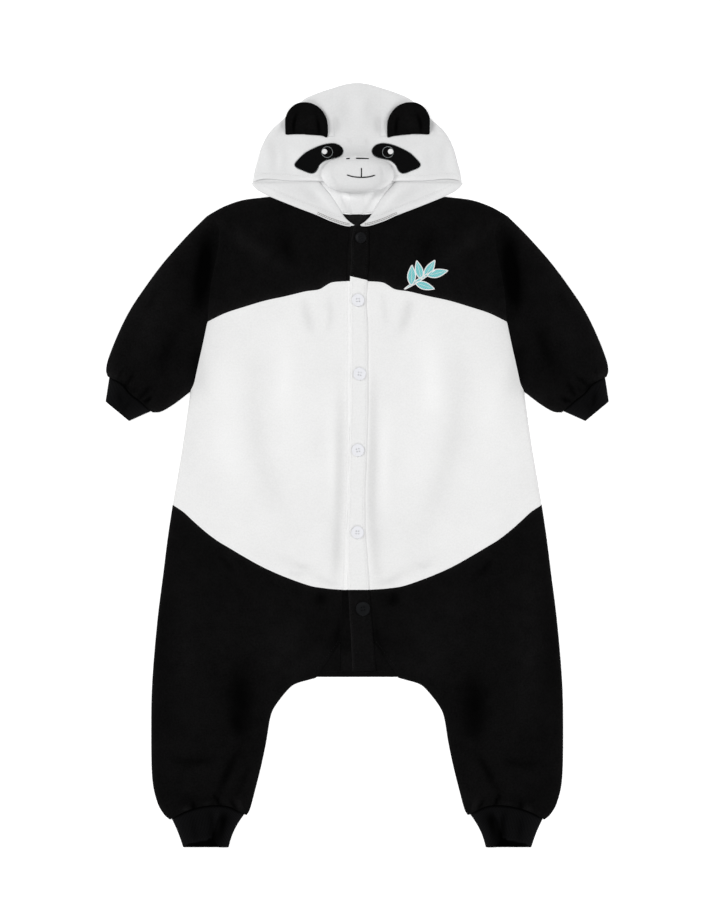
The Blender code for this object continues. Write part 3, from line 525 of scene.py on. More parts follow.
whiteSheen = {"Sheen Weight": 0.12, "Sheen Roughness": 0.6, "Specular IOR Level": 0.12}
blackSheen = {"Sheen Weight": 0.012, "Sheen Roughness": 0.45, "Specular IOR Level": 0.01}
looks = {
    "whiteFleece": makeLook("white_fleece", "napAndPaintedShade", (0.762, 0.762, 0.76), (0.84, 0.84, 0.838), (0.85, 1.0),
                            (0.3, 0.0008), whiteSheen, extra={"Brush marks": 0.07}, paintedShadeGain=0.13),
    "hoodFleece": makeLook("hood_fleece", "napAndPaintedShade", (0.688, 0.69, 0.692), (0.75, 0.752, 0.754), (0.85, 1.0),
                           (0.3, 0.0008), whiteSheen, extra={"Brush marks": 0.1}, paintedShadeGain=0.13),
    "blackFleece": makeLook("black_fleece", "napAndPaintedShade", (0.00208, 0.0020, 0.00203), (0.0053, 0.0051, 0.0052),
                            (0.85, 1.0), (0.5, 0.0009), blackSheen, extra={"Brush marks": 0.36},
                            paintedShadeGain=0.75),
    "blackRib": makeLook("black_rib", "rib", (0.0019, 0.0019, 0.0020), (0.0052, 0.0052, 0.0056), (0.8, 0.95),
                         (0.6, 0.0009), blackSheen, coords="UV", paintedShadeGain=0.75),
    "blackFelt": makeLook("black_felt", "napAndPaintedShade", (0.0026, 0.0026, 0.0027), (0.0050, 0.0050, 0.0052),
                          (0.85, 1.0), (0.3, 0.0006), blackSheen, extra={"Clump size": 1.6}),
    "whiteThread": makeLook("white_thread", "satin", (0.74, 0.74, 0.74), (0.88, 0.88, 0.88), (0.5, 0.7),
                            (0.4, 0.0002), {"Specular IOR Level": 0.25}),
    "hemThread": makeLook("hem_thread", "satin", (0.11, 0.10, 0.09), (0.21, 0.20, 0.185), (0.5, 0.7),
                          (0.4, 0.0002), {"Specular IOR Level": 0.25}),
    "blackThread": makeLook("black_thread", "satin", (0.0016, 0.0016, 0.0017), (0.005, 0.005, 0.0052),
                            (0.45, 0.65), (0.4, 0.0002), {"Specular IOR Level": 0.15}),
    "greyThread": makeLook("grey_thread", "satin", (0.20, 0.22, 0.22), (0.34, 0.37, 0.37), (0.5, 0.7),
                           (0.4, 0.0002), {"Specular IOR Level": 0.25}),
    "tealThread": makeLook("teal_thread", "satin", (0.12, 0.44, 0.46), (0.25, 0.63, 0.64), (0.4, 0.6),
                           (0.6, 0.0003), {"Specular IOR Level": 0.3}),
    "whiteResin": makeLook("white_resin", "napAndPaintedShade", (0.775, 0.78, 0.815), (0.82, 0.825, 0.86), (0.3, 0.4),
                           (0.04, 0.0002), {"Specular IOR Level": 0.4, "Coat Weight": 0.1}),
    "blackResin": makeLook("black_resin", "napAndPaintedShade", (0.0035, 0.0038, 0.0044), (0.005, 0.0054, 0.0062),
                           (0.4, 0.5), (0.04, 0.0002), {"Specular IOR Level": 0.1}),
}
print("finishes made")

# the cut of the garment, one half, as (across, along); both halves are cut alike
cut = {
    "neck": ((50, 500), (80, 521), (104, 538)),
    "shoulder": ((104, 538), (140, 540), (178, 536), (228, 530), (264, 518), (287, 506), (300, 498)),
    "armholeYoke": ((300, 498), (284, 488), (276, 468), (277, 440), (283, 406), (294, 350), (299, 286)),
    "armholeBody": ((299, 286), (308.2, 242), (315.4, 210), (322.4, 178), (326.2, 162), (334, 146)),
    "sideBody": ((334, 146), (348, 46), (356, -2), (369, -79)),
    "sideLeg": ((369, -79), (379, -146), (388, -218), (400, -314), (410, -434), (412, -530), (410, -626),
                (400, -674), (387, -698), (375, -709)),
    "yokeSeam": ((48, 365), (60, 360), (76, 350.6), (104, 346.4), (141, 337.4), (184, 328.1), (226, 315.5),
                 (264, 303), (299, 286)),
    "hipSeam": ((64, -246), (104, -238), (184, -206), (264, -160.4), (284, -147.8), (307, -129.9),
                (330, -109.4), (347, -93.7), (369, -79)),
    "crotchEnd": (83, -426),
    "gussetCorner": (60.5, -387.2),     # where the back leg's edge turns along the gusset
    "innerLeg": ((83, -426), (98, -430), (124, -438), (140, -451), (164, -482), (174, -506), (182, -554),
                 (192, -602), (204, -650), (214, -687), (221, -700)),
    "ankleSeam": ((221, -700), (236, -692), (262, -681), (302, -681), (343, -692), (375, -709)),
    "sleeveOuter": ((300, 498), (340, 458), (386, 406), (422, 358), (454, 310), (478, 262), (497, 214),
                    (502, 190), (499, 177)),
    "sleeveUnder": ((334, 146), (364, 123), (391, 107), (409, 105)),
    "wristSeam": ((499, 177), (471, 163), (453, 143), (434, 128), (409, 105)),
    "wristHem": ((503, 127), (456, 88)),
    "ankleHem": ((257, -764), (348, -764)),
    "backNeck": ((0, 501), (28, 502), (60, 514), (104, 538)),
}
neckFoot, yokeFoot, bellyFoot, gussetTop = 481, 367, -249, -352      # where the colours change
legShares = (0.0, 0.05, 0.12, 0.19, 0.27, 0.36, 0.5, 0.66, 0.83, 1.0)

# the buttoned edge: along, left edge of the stand, left edge and right edge of the band over it
placket = {
    "rows": ((482, -16.0, -3.0, 4.5), (476, -16.3, -6.8, 8.0), (474, -16.4, -7.5, 22.8),
             (463, -17.0, -10.0, 23.5), (446, -18.0, -12.5, 23.5), (412, -22.0, -11.8, 23.5),
             (373, -22.0, -14.3, 20.5), (330, -21.5, -14.6, 18.0), (276, -21.0, -13.8, 21.2),
             (130, -21.5, -14.4, 22.0), (30, -22.0, -16.4, 19.6), (-60, -24.0, -18.0, 15.6),
             (-130, -26.0, -21.0, 16.0), (-190, -28.0, -19.8, 20.6), (-249, -30.0, -18.2, 24.6),
             (-296, -31.0, -15.6, 27.8), (-344, -32.5, -12.2, 32.2), (-411, -34.4, -10.0, 37.6)),
    "yokeEnd": 373,         # the band turns white a little above the panels
    "wall": 2.4,
    "under": 6.5,           # the band's underside and top over the floor
    "top": 8.9,
    "lap": 0.2,             # how far it covers its own panel
    "tilt": 8.8,            # the join with the yoke's part runs down to the wearer's left
    "stitched": 5.0,        # the stitch rows' distance from its edges
}


def bandAt(along, column):
    rows = placket["rows"][::-1]
    return np.interp(along, [row[0] for row in rows], [row[column] for row in rows])


def centreEdge(side, along):
    if side == right:
        return -bandAt(along, 1)
    if side == left:
        return bandAt(along, 3) - placket["lap"]
    return 0.0 * np.asarray(along, float)       # the back is cut whole across the middle


def middleRun(side, high, low, v):
    along = high + (low - high) * np.asarray(v)
    return np.stack([centreEdge(side, along) + 0.0 * along, along], 1)


def yokePlan(side, u, v):
    foot = (float(centreEdge(side, yokeFoot)), yokeFoot)
    if side:
        neck = (float(centreEdge(side, neckFoot)), neckFoot), *cut["neck"]
    else:
        neck = cut["backNeck"]
    top = inParts([neck, cut["shoulder"]], [2 / 7], u)
    inner = middleRun(side, top[0][1], yokeFoot, v)
    return coons(top, smoothRun((foot, *cut["yokeSeam"]), u), inner, smoothRun(cut["armholeYoke"], v), u, v)


def bodyPlan(side, u, v):
    head = (float(centreEdge(side, yokeFoot)), yokeFoot)
    foot = (float(centreEdge(side, bellyFoot)), bellyFoot)
    outer = inParts([cut["armholeBody"], cut["sideBody"]], [3 / 8], v)
    return coons(smoothRun((head, *cut["yokeSeam"]), u), smoothRun((foot, *cut["hipSeam"]), u),
                 middleRun(side, yokeFoot, bellyFoot, v), outer, u, v)


def legPlan(side, u, v, inset=0.0):
    # down the stand, along the gusset, then the inner leg; inset draws the inner leg in
    head = (float(centreEdge(side, bellyFoot)), bellyFoot)
    stand = (float(centreEdge(side, gussetTop)), gussetTop)
    leg = offsetLine(denseRun(cut["innerLeg"]), inset)
    inner = np.zeros((len(v), 2))
    down, gusset = v <= 3 / 14 + 1e-9, (v > 3 / 14 - 1e-9) & (v <= 5 / 14 + 1e-9)
    inner[down] = middleRun(side, bellyFoot, gussetTop, v[down] * 14 / 3)
    corner = [] if side else [cut["gussetCorner"]]
    inner[gusset] = sampled(np.array([stand, *corner, leg[0]]), (v[gusset] - 3 / 14) * 7)
    rest = v >= 5 / 14 - 1e-9
    inner[rest] = sampled(leg, np.interp(v[rest] * 14 - 5, np.arange(10), legShares))
    return coons(smoothRun((head, *cut["hipSeam"]), u), smoothRun(cut["ankleSeam"], u), inner,
                 smoothRun(cut["sideLeg"], v), u, v)


def offsetLine(line, distance):
    way = np.gradient(line, axis=0)
    way /= np.maximum(np.hypot(way[:, 0], way[:, 1]), 1e-9)[:, None]
    return line + distance * np.stack([-way[:, 1], way[:, 0]], 1)


def reach(x, y, line):
    # distance of each point from a line in plan
    best = np.full(x.shape, 1e9)
    for a, b in zip(line[:-1], line[1:]):
        d = b - a
        size = d @ d
        if size < 1e-12:
            continue
        t = np.clip(((x - a[0]) * d[0] + (y - a[1]) * d[1]) / size, 0, 1)
        best = np.minimum(best, np.hypot(x - a[0] - t * d[0], y - a[1] - t * d[1]))
    return best


def thinned(line):
    # every third point is enough to measure from
    return np.vstack([line[:-1:3], line[-1:]])


# the main creases of the front: the route in plan, how wide, how high (- is a trough)
frontFolds = {
    right: (
        (((-106, 336), (-100, 300), (-88, 258)), 9, -2.4),
        (((-56, 342), (-52, 300), (-58, 262)), 7, -1.2),
        (((-216, 250), (-205, 140), (-196, 30), (-164, -66), (-116, -168)), 22, -1.2),
        (((-266, 236), (-264, 90), (-252, -60)), 34, 0.5),
        (((-56, 130), (-50, 20), (-46, -110)), 13, 1.4),
        (((-34, 190), (-34, 60), (-37, -70), (-41, -160), (-48, -240)), 9, -1.7),
        (((-126, -196), (-108, -203), (-92, -200)), 5, -1.5),
        (((-140, -214), (-120, -219), (-104, -214)), 5, -1.0),
        (((-84, -222), (-52, -236), (-32, -238)), 7, -1.6),
        (((-320, 120), (-334, 30), (-340, -60)), 16, -0.5),
        (((-150, 260), (-146, 170), (-152, 90)), 22, 1.2),
        (((-284, 500), (-230, 450), (-156, 392)), 15, 1.3),
        (((-262, 494), (-250, 470), (-236, 444)), 7, -1.6),
        (((-150, 470), (-140, 430), (-122, 396)), 16, -1.4),
        (((-300, 476), (-306, 400), (-320, 300)), 15, -2.0),
        (((-370, 410), (-412, 310), (-436, 214)), 30, 1.7),
        (((-350, 300), (-380, 230), (-402, 160)), 14, -1.4),
        (((-400, 360), (-408, 330), (-424, 308)), 7, -1.2),
        (((-348, -140), (-346, -350), (-336, -560)), 34, 1.7),
        (((-230, -350), (-236, -460), (-222, -556)), 36, -0.5),
        (((-252, -496), (-242, -514), (-236, -536)), 10, -0.8),
        (((-236, -566), (-258, -612), (-282, -664)), 8, -1.7),
        (((-214, -596), (-232, -640), (-250, -676)), 6, -1.2),
        (((-376, -586), (-330, -594), (-276, -584)), 10, -1.5),
        (((-276, -178), (-258, -200), (-244, -224)), 6, -1.6),
        (((-72, -250), (-73, -264), (-76, -284)), 9, -0.5),
        (((-62, -330), (-52, -352), (-44, -380)), 12, -0.6),
        (((-120, -290), (-140, -350), (-170, -420)), 26, 1.2),
    ),
    left: (
        (((106, 336), (100, 302), (86, 262)), 9, -2.2),
        (((52, 350), (55, 314), (61, 276)), 7, -1.3),
        (((206, 256), (200, 150), (190, 40), (160, -60), (124, -170)), 22, -1.0),
        (((260, 230), (264, 100), (254, -50)), 32, 0.5),
        (((60, 120), (54, 0), (56, -120)), 13, 1.3),
        (((23, 470), (24, 440), (22, 373), (19.5, 330), (22.7, 276), (23.5, 130), (21, 30),
          (17.2, -60), (17.6, -130), (22, -190), (26, -249), (29.3, -296), (34, -344)), 4.2, 1.2),
        (((35, 200), (33, 60), (30, -60), (33, -160), (40, -240)), 8, -2.2),
        (((116, -196), (132, -203), (148, -198)), 5, -1.5),
        (((92, -218), (64, -232), (40, -238)), 7, -1.6),
        (((322, 110), (336, 20), (342, -66)), 16, -0.5),
        (((146, 256), (150, 160), (144, 84)), 22, 1.2),
        (((284, 500), (226, 446), (160, 392)), 15, 1.3),
        (((260, 494), (248, 468), (232, 446)), 7, -1.5),
        (((150, 474), (136, 430), (126, 396)), 16, -1.4),
        (((300, 470), (308, 396), (318, 304)), 15, -2.0),
        (((372, 404), (410, 316), (438, 220)), 30, 1.7),
        (((352, 290), (378, 226), (404, 166)), 14, -1.4),
        (((404, 352), (414, 322), (430, 302)), 7, -1.2),
        (((350, -150), (346, -340), (338, -552)), 34, 1.7),
        (((228, -360), (236, -470), (224, -560)), 36, -0.5),
        (((238, -570), (262, -616), (286, -660)), 8, -1.7),
        (((374, -592), (334, -598), (282, -590)), 10, -1.4),
        (((274, -184), (256, -204), (240, -226)), 6, -1.5),
        (((72, -250), (74, -264), (76, -284)), 9, -0.5),
        (((66, -330), (56, -352), (48, -380)), 12, -0.6),
        (((118, -286), (142, -352), (172, -426)), 26, 1.2),
    ),
}


def gathers(foot, rows):
    # short troughs that fan out of a gathered seam: place along it, length, lean, width, rise
    folds = []
    for share, length, lean, width, rise in rows:
        a, b = sampled(denseRun(foot), [max(share - 0.02, 0), share])
        way = (b - a) / max(hypot(*(b - a)), 1e-6)
        up = np.array([-way[1], way[0]])
        tip = b + up * length + way * lean
        folds.append(((tuple(b - up * 3), tuple((b + tip) / 2), tuple(tip)), width, rise))
    return folds


ankleGathers = ((0.1, 22, 3, 3.4, -1.8), (0.2, 34, -8, 3.8, -2.0), (0.32, 20, 2, 3.2, -1.7),
                (0.45, 42, 6, 4.2, -1.9), (0.56, 24, -3, 3.4, -1.8), (0.68, 36, 8, 4.0, -2.0),
                (0.8, 26, -4, 3.6, -1.7), (0.91, 30, 6, 3.6, -1.6))
wristGathers = ((0.16, 26, 4, 3.6, -1.7), (0.34, 36, -5, 4.0, -2.0), (0.5, 22, 2, 3.2, -1.6),
                (0.66, 38, 6, 4.2, -2.1), (0.82, 24, -4, 3.6, -1.7))


def sidedRun(side, points):
    return tuple((side * x, y) for x, y in points)


for side in (right, left):
    folds = list(frontFolds[side])
    for seamName, rows in (("ankleSeam", ankleGathers), ("wristSeam", wristGathers)):
        folds += gathers(sidedRun(side, cut[seamName]),
                         [(share, -side * length, -side * lean, width, rise)
                          for share, length, lean, width, rise in rows])
    frontFolds[side] = folds


def frontHeight(side, x, y):
    z = foldHeight(x, y, frontFolds[side], side) + 0.45 * swell(x, y, 34, 0.7 + 0.2 * side) \
        + 0.18 * swell(x, y, 11, 1.9)
    return np.clip(cloth["lay"] + z, 4.2, 10.5)


# painted shade and painted light on the front, darker or lighter without the cloth rising: route, width,
# shade
frontPaintedShades = {
    side: tuple((sidedRun(side, path), width, shade) for path, width, shade in (
        (((40, 120), (40, -60), (60, -236)), 22, -0.3),
        (((42, -110), (40, -180), (46, -244)), 10, -0.5),
        (((110, 200), (120, 60), (100, -60)), 50, 0.25),
        (((262, 200), (262, 40), (236, -110)), 34, 0.15),
        (((330, 100), (344, 10), (350, -70)), 16, 0.1),
        (((226, -400), (234, -470), (224, -550)), 26, -0.7),
        (((60, -226), (110, -206), (170, -178)), 12, -0.35),
        (((290, 480), (306, 380), (322, 286)), 24, -0.9),
        (((340, 440), (410, 330), (462, 230)), 34, -0.35),
        (((290, 500), (240, 462), (150, 392)), 16, 0.25),
        (((330, -670), (327, -682), (322, -694)), 3.4, -1.2),
        (((286, -656), (280, -668), (272, -686)), 3.4, -1.2),
        (((254, -664), (250, -674), (240, -690)), 3, -1.0),
        (((352, -694), (342, -688), (334, -682)), 6, 0.8),
        (((312, -680), (300, -676), (288, -676)), 5, 0.7),
        (((240, -664), (234, -680), (230, -696)), 5, 0.8),
        (((500, 190), (490, 180), (472, 172)), 9, 0.9),
        (((70, -250), (72, -264), (74, -284)), 12, -0.6),
        (((44, -322), (40, -350), (50, -384)), 10, -0.5),
        (((36, -300), (37, -330), (42, -352)), 5, -0.35),
        (((478, 168), (462, 156), (450, 148)), 5, -0.8),
        (((330, 250), (310, 160), (300, 130)), 16, -0.5),
        (((432, 126), (420, 129), (408, 138)), 2.4, -1.3),
        (((350, -120), (372, -340), (366, -600)), 46, -0.35),
        (((246, -500), (238, -530), (226, -556)), 14, -0.3),
        (((150, -250), (180, -300), (200, -400)), 30, 0.25),
        (((390, -640), (340, -672), (250, -672)), 20, -0.4),
        (((60, -400), (100, -396), (150, -430)), 16, 0.4),
    )) for side in (right, left)}


def panelGrid(side, plan, height, seams=(), closed=(), rims=(), shades=(), base=None):
    # lifts a plan, given on the wearer's left, to its heights; seams are (line, depth, width),
    # closed the lines that round down and rims (line, shade, width) of painted light along a line, painted
    # shade where the shade is below 0; it also gives painted shade and painted light, darker in the folds'
    # troughs and lighter on their ridges
    x, y = side * plan[..., 0], plan[..., 1]
    z = height(x, y)
    level = cloth["lay"] if base is None else base(y)
    napAndPaintedShade = np.clip((z - level) / 2.4, -1, 1) + foldHeight(x, y, shades)
    for line, depth, wide in seams:
        z = dipped(z, reach(plan[..., 0], y, thinned(line)), depth, wide)
    for line in closed:
        z = rolled(z, reach(plan[..., 0], y, line))
    for line, shade, wide in rims:
        napAndPaintedShade = napAndPaintedShade + shade * np.exp(-reach(plan[..., 0], y, thinned(line)) / wide)
    return np.stack([x, y, z], 2), np.clip(napAndPaintedShade, -1.2, 2.4)


def panelShares(width, length, *marks):
    return crowded(width), snapped(crowded(length), *marks)


def makeFronts():
    half = cloth["seam"] / 2
    for side in (right, left):
        word = sideWord[side]
        height = lambda x, y, side=side: frontHeight(side, x, y)

        u, v = snapped(crowded(300), 2 / 7), crowded(220)
        plan = moved(yokePlan(side, u, v), inner=half, outer=half, bottom=half)
        start = int(np.argmin(abs(u - 2 / 7)))
        # painted light along the yoke's shoulder, its foot and its armhole
        grid, napAndPaintedShade = panelGrid(side, plan, height,
                              ((plan[:, -1], 1.7, 4), (plan[-1], 1.2, 3), (plan[:, 0], 0.8, 3)),
                              (plan[0, start:],), ((plan[0, start:], 1.3, 5), (plan[-1], 1.8, 5),
                                                   (plan[-1], 0.6, 24), (plan[:, -1], 0.6, 4)),
                              frontPaintedShades[side])
        clothPiece("front_yoke_" + word, [grid], "blackFleece",
                   paintedShades=[napAndPaintedShade])

        u, v = panelShares(330, 616, 3 / 8)
        plan = moved(bodyPlan(side, u, v), inner=half, top=half, bottom=half)
        start = int(np.argmin(abs(v - 3 / 8)))
        plan[:start] = moved(plan[:start], outer=half)
        # painted shade along the side edge and, wider and darker, beside the armhole
        grid, napAndPaintedShade = panelGrid(side, plan, height,
                              ((plan[0], 0.9, 3), (plan[-1], 0.9, 3), (plan[:, 0], 0.3, 2.2),
                               (plan[:start + 1, -1], 1.2, 4)),
                              (plan[start:, -1],),
                              ((plan[start:, -1], -0.3, 12), (plan[:start + 1, -1], -1.15, 20)),
                              frontPaintedShades[side])
        clothPiece("front_body_" + word, [grid], "whiteFleece",
                   paintedShades=[napAndPaintedShade])

        u, v = panelShares(260, 560, 3 / 14, 5 / 14)
        plan = moved(legPlan(side, u, v), top=half, bottom=half)
        crotch = int(np.argmin(abs(v - 5 / 14)))
        plan[:crotch] = moved(plan[:crotch], inner=half)
        # painted light along the hip seam, the outer edge and the inner leg
        grid, napAndPaintedShade = panelGrid(side, plan, height,
                              ((plan[0], 1.2, 3), (plan[-1], 2.2, 4), (plan[:crotch + 1, 0], 1.0, 3)),
                              (plan[:, -1], plan[crotch:, 0]),
                              ((plan[0], 1.6, 4), (plan[:, -1], 1.6, 4), (plan[crotch:, 0], 1.0, 4)),
                              frontPaintedShades[side])
        clothPiece("front_leg_" + word, [grid], "blackFleece",
                   paintedShades=[napAndPaintedShade])
    print("front panels cut and laid")


# creases of the back, seen from underneath: they rise off the floor
backFolds = (
    (((-236, 190), (-200, 60), (-150, -80)), 16, 1.3),
    (((214, 210), (196, 40), (160, -120)), 18, 1.2),
    (((-60, 300), (-40, 210), (-54, 120)), 12, 0.9),
    (((70, 110), (52, 0), (66, -120)), 13, 1.0),
    (((-250, 470), (-170, 430), (-90, 420)), 14, 1.1),
    (((236, 476), (170, 440), (84, 426)), 14, 1.1),
    (((-330, -220), (-300, -360), (-310, -520)), 22, 1.2),
    (((326, -200), (310, -380), (300, -540)), 22, 1.2),
    (((-120, -262), (-150, -330), (-160, -420)), 14, 1.1),
    (((128, -262), (146, -340), (166, -430)), 14, 1.1),
    (((-230, -580), (-262, -628), (-280, -670)), 8, 1.0),
    (((236, -586), (266, -630), (284, -668)), 8, 1.0),
)


def backHeight(x, y):
    return np.clip(foldHeight(x, y, backFolds, 0.4) + 0.35 * swell(x, y, 40, 1.1), 0.0, 1.0)


def backGrid(plan, side=left):
    # flat along its seams, with a slightly raised edge
    x, y = side * plan[..., 0], plan[..., 1]
    border = np.concatenate([plan[0], plan[:, -1], plan[-1][::-1], plan[:, 0][::-1]])
    inward = reach(plan[..., 0], y, thinned(border))
    z = cloth["backWall"] + backHeight(x, y) * softStep((inward - 2) / 22)
    return np.stack([x, y, z + 0.35 * (1 - softStep(inward / 3.0))], 2)


gussetCornerShare = 0.6125      # how far along the gusset's edge its corner comes
closedInset = 3.2               # how far the back's closed edges lie inside the front's


def makeBacks():
    half, inset = cloth["seam"] / 2, closedInset
    fineStep, cloth["step"] = cloth["step"], 8.0
    u, v = snapped(crowded(300), 2 / 7), crowded(220)
    plan = moved(yokePlan(0, u, v), outer=half, top=half, bottom=half)
    shoulderFrom = int(np.argmin(abs(u - 2 / 7)))
    plan[0, shoulderFrom:] = moved(plan, top=inset)[0, shoulderFrom:]
    grid = backGrid(bothHalves(plan))
    # painted light where it shows inside the neck
    napAndPaintedShade = 2.4 * softStep((54 - abs(grid[..., 0])) / 12) * softStep((grid[..., 1] - 455) / 20)
    yoke = clothPiece("back_yoke", [grid], "blackFleece", wall=cloth["backWall"],
                      paintedShades=[napAndPaintedShade])
    paintedShade = yoke.data.attributes["napAndPaintedShade"]
    for vert in yoke.data.vertices:
        if vert.co.z < 0.5 * cloth["backWall"] * mm:
            paintedShade.data[vert.index].value = 0.0        # no painted light on the floor side

    u, v = panelShares(330, 616, 3 / 8)
    plan = moved(bodyPlan(0, u, v), top=half, bottom=half, outer=half)
    underarm = int(np.argmin(abs(v - 3 / 8)))
    plan[underarm:] = moved(plan[underarm:], outer=inset)
    clothPiece("back_body", [backGrid(bothHalves(plan))], "whiteFleece",
               wall=cloth["backWall"])

    for side in (right, left):
        u, v = panelShares(260, 560, 3 / 14, 3 / 14 + gussetCornerShare / 7, 5 / 14)
        plan = moved(legPlan(0, u, v, inset), inner=half, outer=inset, top=half, bottom=half)
        clothPiece("back_leg_" + sideWord[side], [backGrid(plan, side)], "blackFleece",
                   wall=cloth["backWall"])
    cloth["step"] = fineStep
    print("back panels laid")


def tubeSection(side, plan, height, seams, roll=cloth["roll"], shades=(), tuck=0.0):
    # a flattened tube over rows of a plan: up over the top, back along the floor; with a tuck its
    # first rows lie lower, inside the piece that it is sewn to
    x, y = side * plan[..., 0], plan[..., 1]
    z = height(x, y)
    napAndPaintedShade = np.clip((z - cloth["lay"]) / 2.4, -1, 1) + foldHeight(x, y, shades)
    for line, depth, wide in seams:
        z = dipped(z, reach(plan[..., 0], y, thinned(line)), depth, wide)
    if tuck:
        fromSeam = reach(plan[..., 0], y, plan[0])
        z = tuck + (z - tuck) * softStep((fromSeam - 1.5) / 5.5)
        # painted shade where it goes in under the piece it is sewn to
        napAndPaintedShade = napAndPaintedShade - 0.5 * np.exp(-fromSeam / 5)
    reaches = np.minimum(reach(plan[..., 0], y, plan[:, 0]), reach(plan[..., 0], y, plan[:, -1]))
    bow = quarterRound(reaches / roll)
    edge = 0.34 * z         # the height of the fold's own edge
    top = np.stack([x, y, edge + (z - edge) * bow], 2)
    low = np.stack([x, y, edge * (1 - np.clip(1.25 * bow, 0, 1))], 2)
    # painted light along both folded edges; the underside gets none
    napAndPaintedShade = napAndPaintedShade + 1.8 * np.exp(-reaches / 9)
    napAndPaintedShade = np.clip(np.concatenate([napAndPaintedShade, 0 * napAndPaintedShade[:, -2:0:-1]], 1), -1.2, 2.4)
    return np.concatenate([top, low[:, -2:0:-1]], 1), napAndPaintedShade


def makeSleeves():
    half = cloth["seam"] / 2
    for side in (right, left):
        u, v = crowded(230), crowded(330)
        armhole = inParts([cut["armholeYoke"], cut["armholeBody"]], [5 / 8], snapped(u, 5 / 8))
        plan = coons(armhole, smoothRun(cut["wristSeam"], u), smoothRun(cut["sleeveOuter"], v),
                     smoothRun(cut["sleeveUnder"], v), u, v)
        plan = moved(plan, top=half, bottom=half)
        height = lambda x, y, side=side: frontHeight(side, x, y)
        grid, napAndPaintedShade = tubeSection(side, plan, height, ((plan[0], 1.7, 4), (plan[-1], 2.2, 4)),
                                shades=frontPaintedShades[side])
        clothPiece("sleeve_" + sideWord[side], [grid], "blackFleece", closed=True,
                   paintedShades=[napAndPaintedShade])
    print("sleeves sewn in")


cuffSpec = {
    "lay": 6.0,         # both layers, flattened
    "inside": 3.2,      # how far the rib reaches into the sleeve or the leg
    "tuck": 2.5,        # its height there
    "wristOut": (0.6, -0.8),
    "ankleOut": (0.0, -1.0),
    "wristFolds": ((((478, 150), (474, 132), (470, 112)), 5, -1.5),
                   (((452, 128), (462, 116), (470, 102)), 4, -1.0)),
    "ankleFolds": ((((298, -688), (290, -716), (296, -762)), 6, -1.9),
                   (((282, -690), (278, -716), (284, -740)), 5, 1.3),
                   (((330, -700), (326, -730), (322, -758)), 7, -1.1),
                   (((262, -690), (268, -720), (272, -756)), 6, -1.0)),
}


def ankleOpening(z, u, v, fromHem):
    # the front layer folds over itself and its hem has ridden up, so that the hollow shows
    turn = 0.69 - 0.115 * v
    past = u - turn
    drop = softStep(past / 0.03) * (1 - 0.75 * softStep((past - 0.02) / 0.28)) * softStep((v - 0.08) / 0.3)
    z = z + 0.5 * softStep((past + 0.2) / 0.16) * (past < 0) - 2.8 * drop
    ridden = np.interp(u, (0, 0.15, 0.35, 0.5, 0.575, 0.66, 0.8, 1), (0, 8, 11.5, 13.5, 17.5, 11, 0, 0))
    gape = softStep((ridden - fromHem) / 1.6 + 0.5) * (ridden > 0.5)
    # painted shade in the fold and the open hollow, a little painted light along the hem's edge
    napAndPaintedShade = -1.1 * drop - 1.2 * gape + 0.45 * bell(fromHem - ridden - 2, 2.5) * (past < 0)
    return z * (1 - gape) + 2.1 * gape, napAndPaintedShade


def makeCuffs():
    panelStep, cloth["step"] = cloth["step"], 2.6
    for side in (right, left):
        for kind in ("wrist", "ankle"):
            u, v = crowded(110, 0.6), crowded(60, 0.3)
            seam = smoothRun(cut[kind + "Seam"], 0.02 + 0.96 * u)
            seam = seam - np.array(cuffSpec[kind + "Out"]) * cuffSpec["inside"]
            hem = sampled(np.array(cut[kind + "Hem"], float), u)
            plan = seam[None] * (1 - v[:, None, None]) + hem[None] * v[:, None, None]
            if kind == "ankle":
                # the sides draw in toward the hem
                bow = np.sin(pi * v)[:, None]
                plan[..., 0] += bow * (5.0 * (1 - u) ** 3 - 1.6 * u ** 3)
            folds = [(sidedRun(side, path), width, rise)
                     for path, width, rise in cuffSpec[kind + "Folds"]]

            def height(x, y):
                return np.clip(cuffSpec["lay"] + foldHeight(x, y, folds, side)
                               + 0.3 * swell(x, y, 14, 0.5 * side), 3.4, 8)
            grid, napAndPaintedShade = tubeSection(side, plan, height, (), 6.0, tuck=cuffSpec["tuck"])
            hemEnd = reach(plan[..., 0], plan[..., 1], plan[-1])
            top, topPaintedShade = grid[:, :plan.shape[1], 2], napAndPaintedShade[:, :plan.shape[1]]
            top -= 1.0 * bell(hemEnd, 2.2)        # the folded hem rounds over
            seamEnd = reach(plan[..., 0], plan[..., 1], plan[0]) - cuffSpec["inside"]
            # painted shadow just past the seam, where the sleeve or leg lies over the cuff
            topPaintedShade -= 1.4 * bell(np.maximum(seamEnd, 0), 2.6)
            if kind == "ankle":
                opened, shade = ankleOpening(top.copy(), 1 - u[None] + 0 * top, v[:, None] + 0 * top,
                                             hemEnd)
                inside = softStep(np.minimum(u, 1 - u) / 0.05)
                top[:] = top * (1 - inside) + np.minimum(opened, top + 0.5) * inside
                topPaintedShade += shade
            clothPiece(kind + "_cuff_" + sideWord[side], [grid], "blackRib", closed=True,
                       ribs=True, paintedShades=[napAndPaintedShade])
    cloth["step"] = panelStep
    print("cuffs knitted")


gussetSpec = {
    "under": 1.2,       # how far its edges go in under the legs
    "round": ((6.2, 0.96), (4.6, 0.88), (3.0, 0.76), (1.8, 0.6), (0.9, 0.4), (0.3, 0.18)),
    "back": ((-421.4, 83.5), (-405, 72.4), (-387.2, 60.3), (-353.2, 1.2)),      # along, half width
    "crease": (((-60, -398), (-20, -420), (24, -416), (60, -396)), 7, -1.2),
}


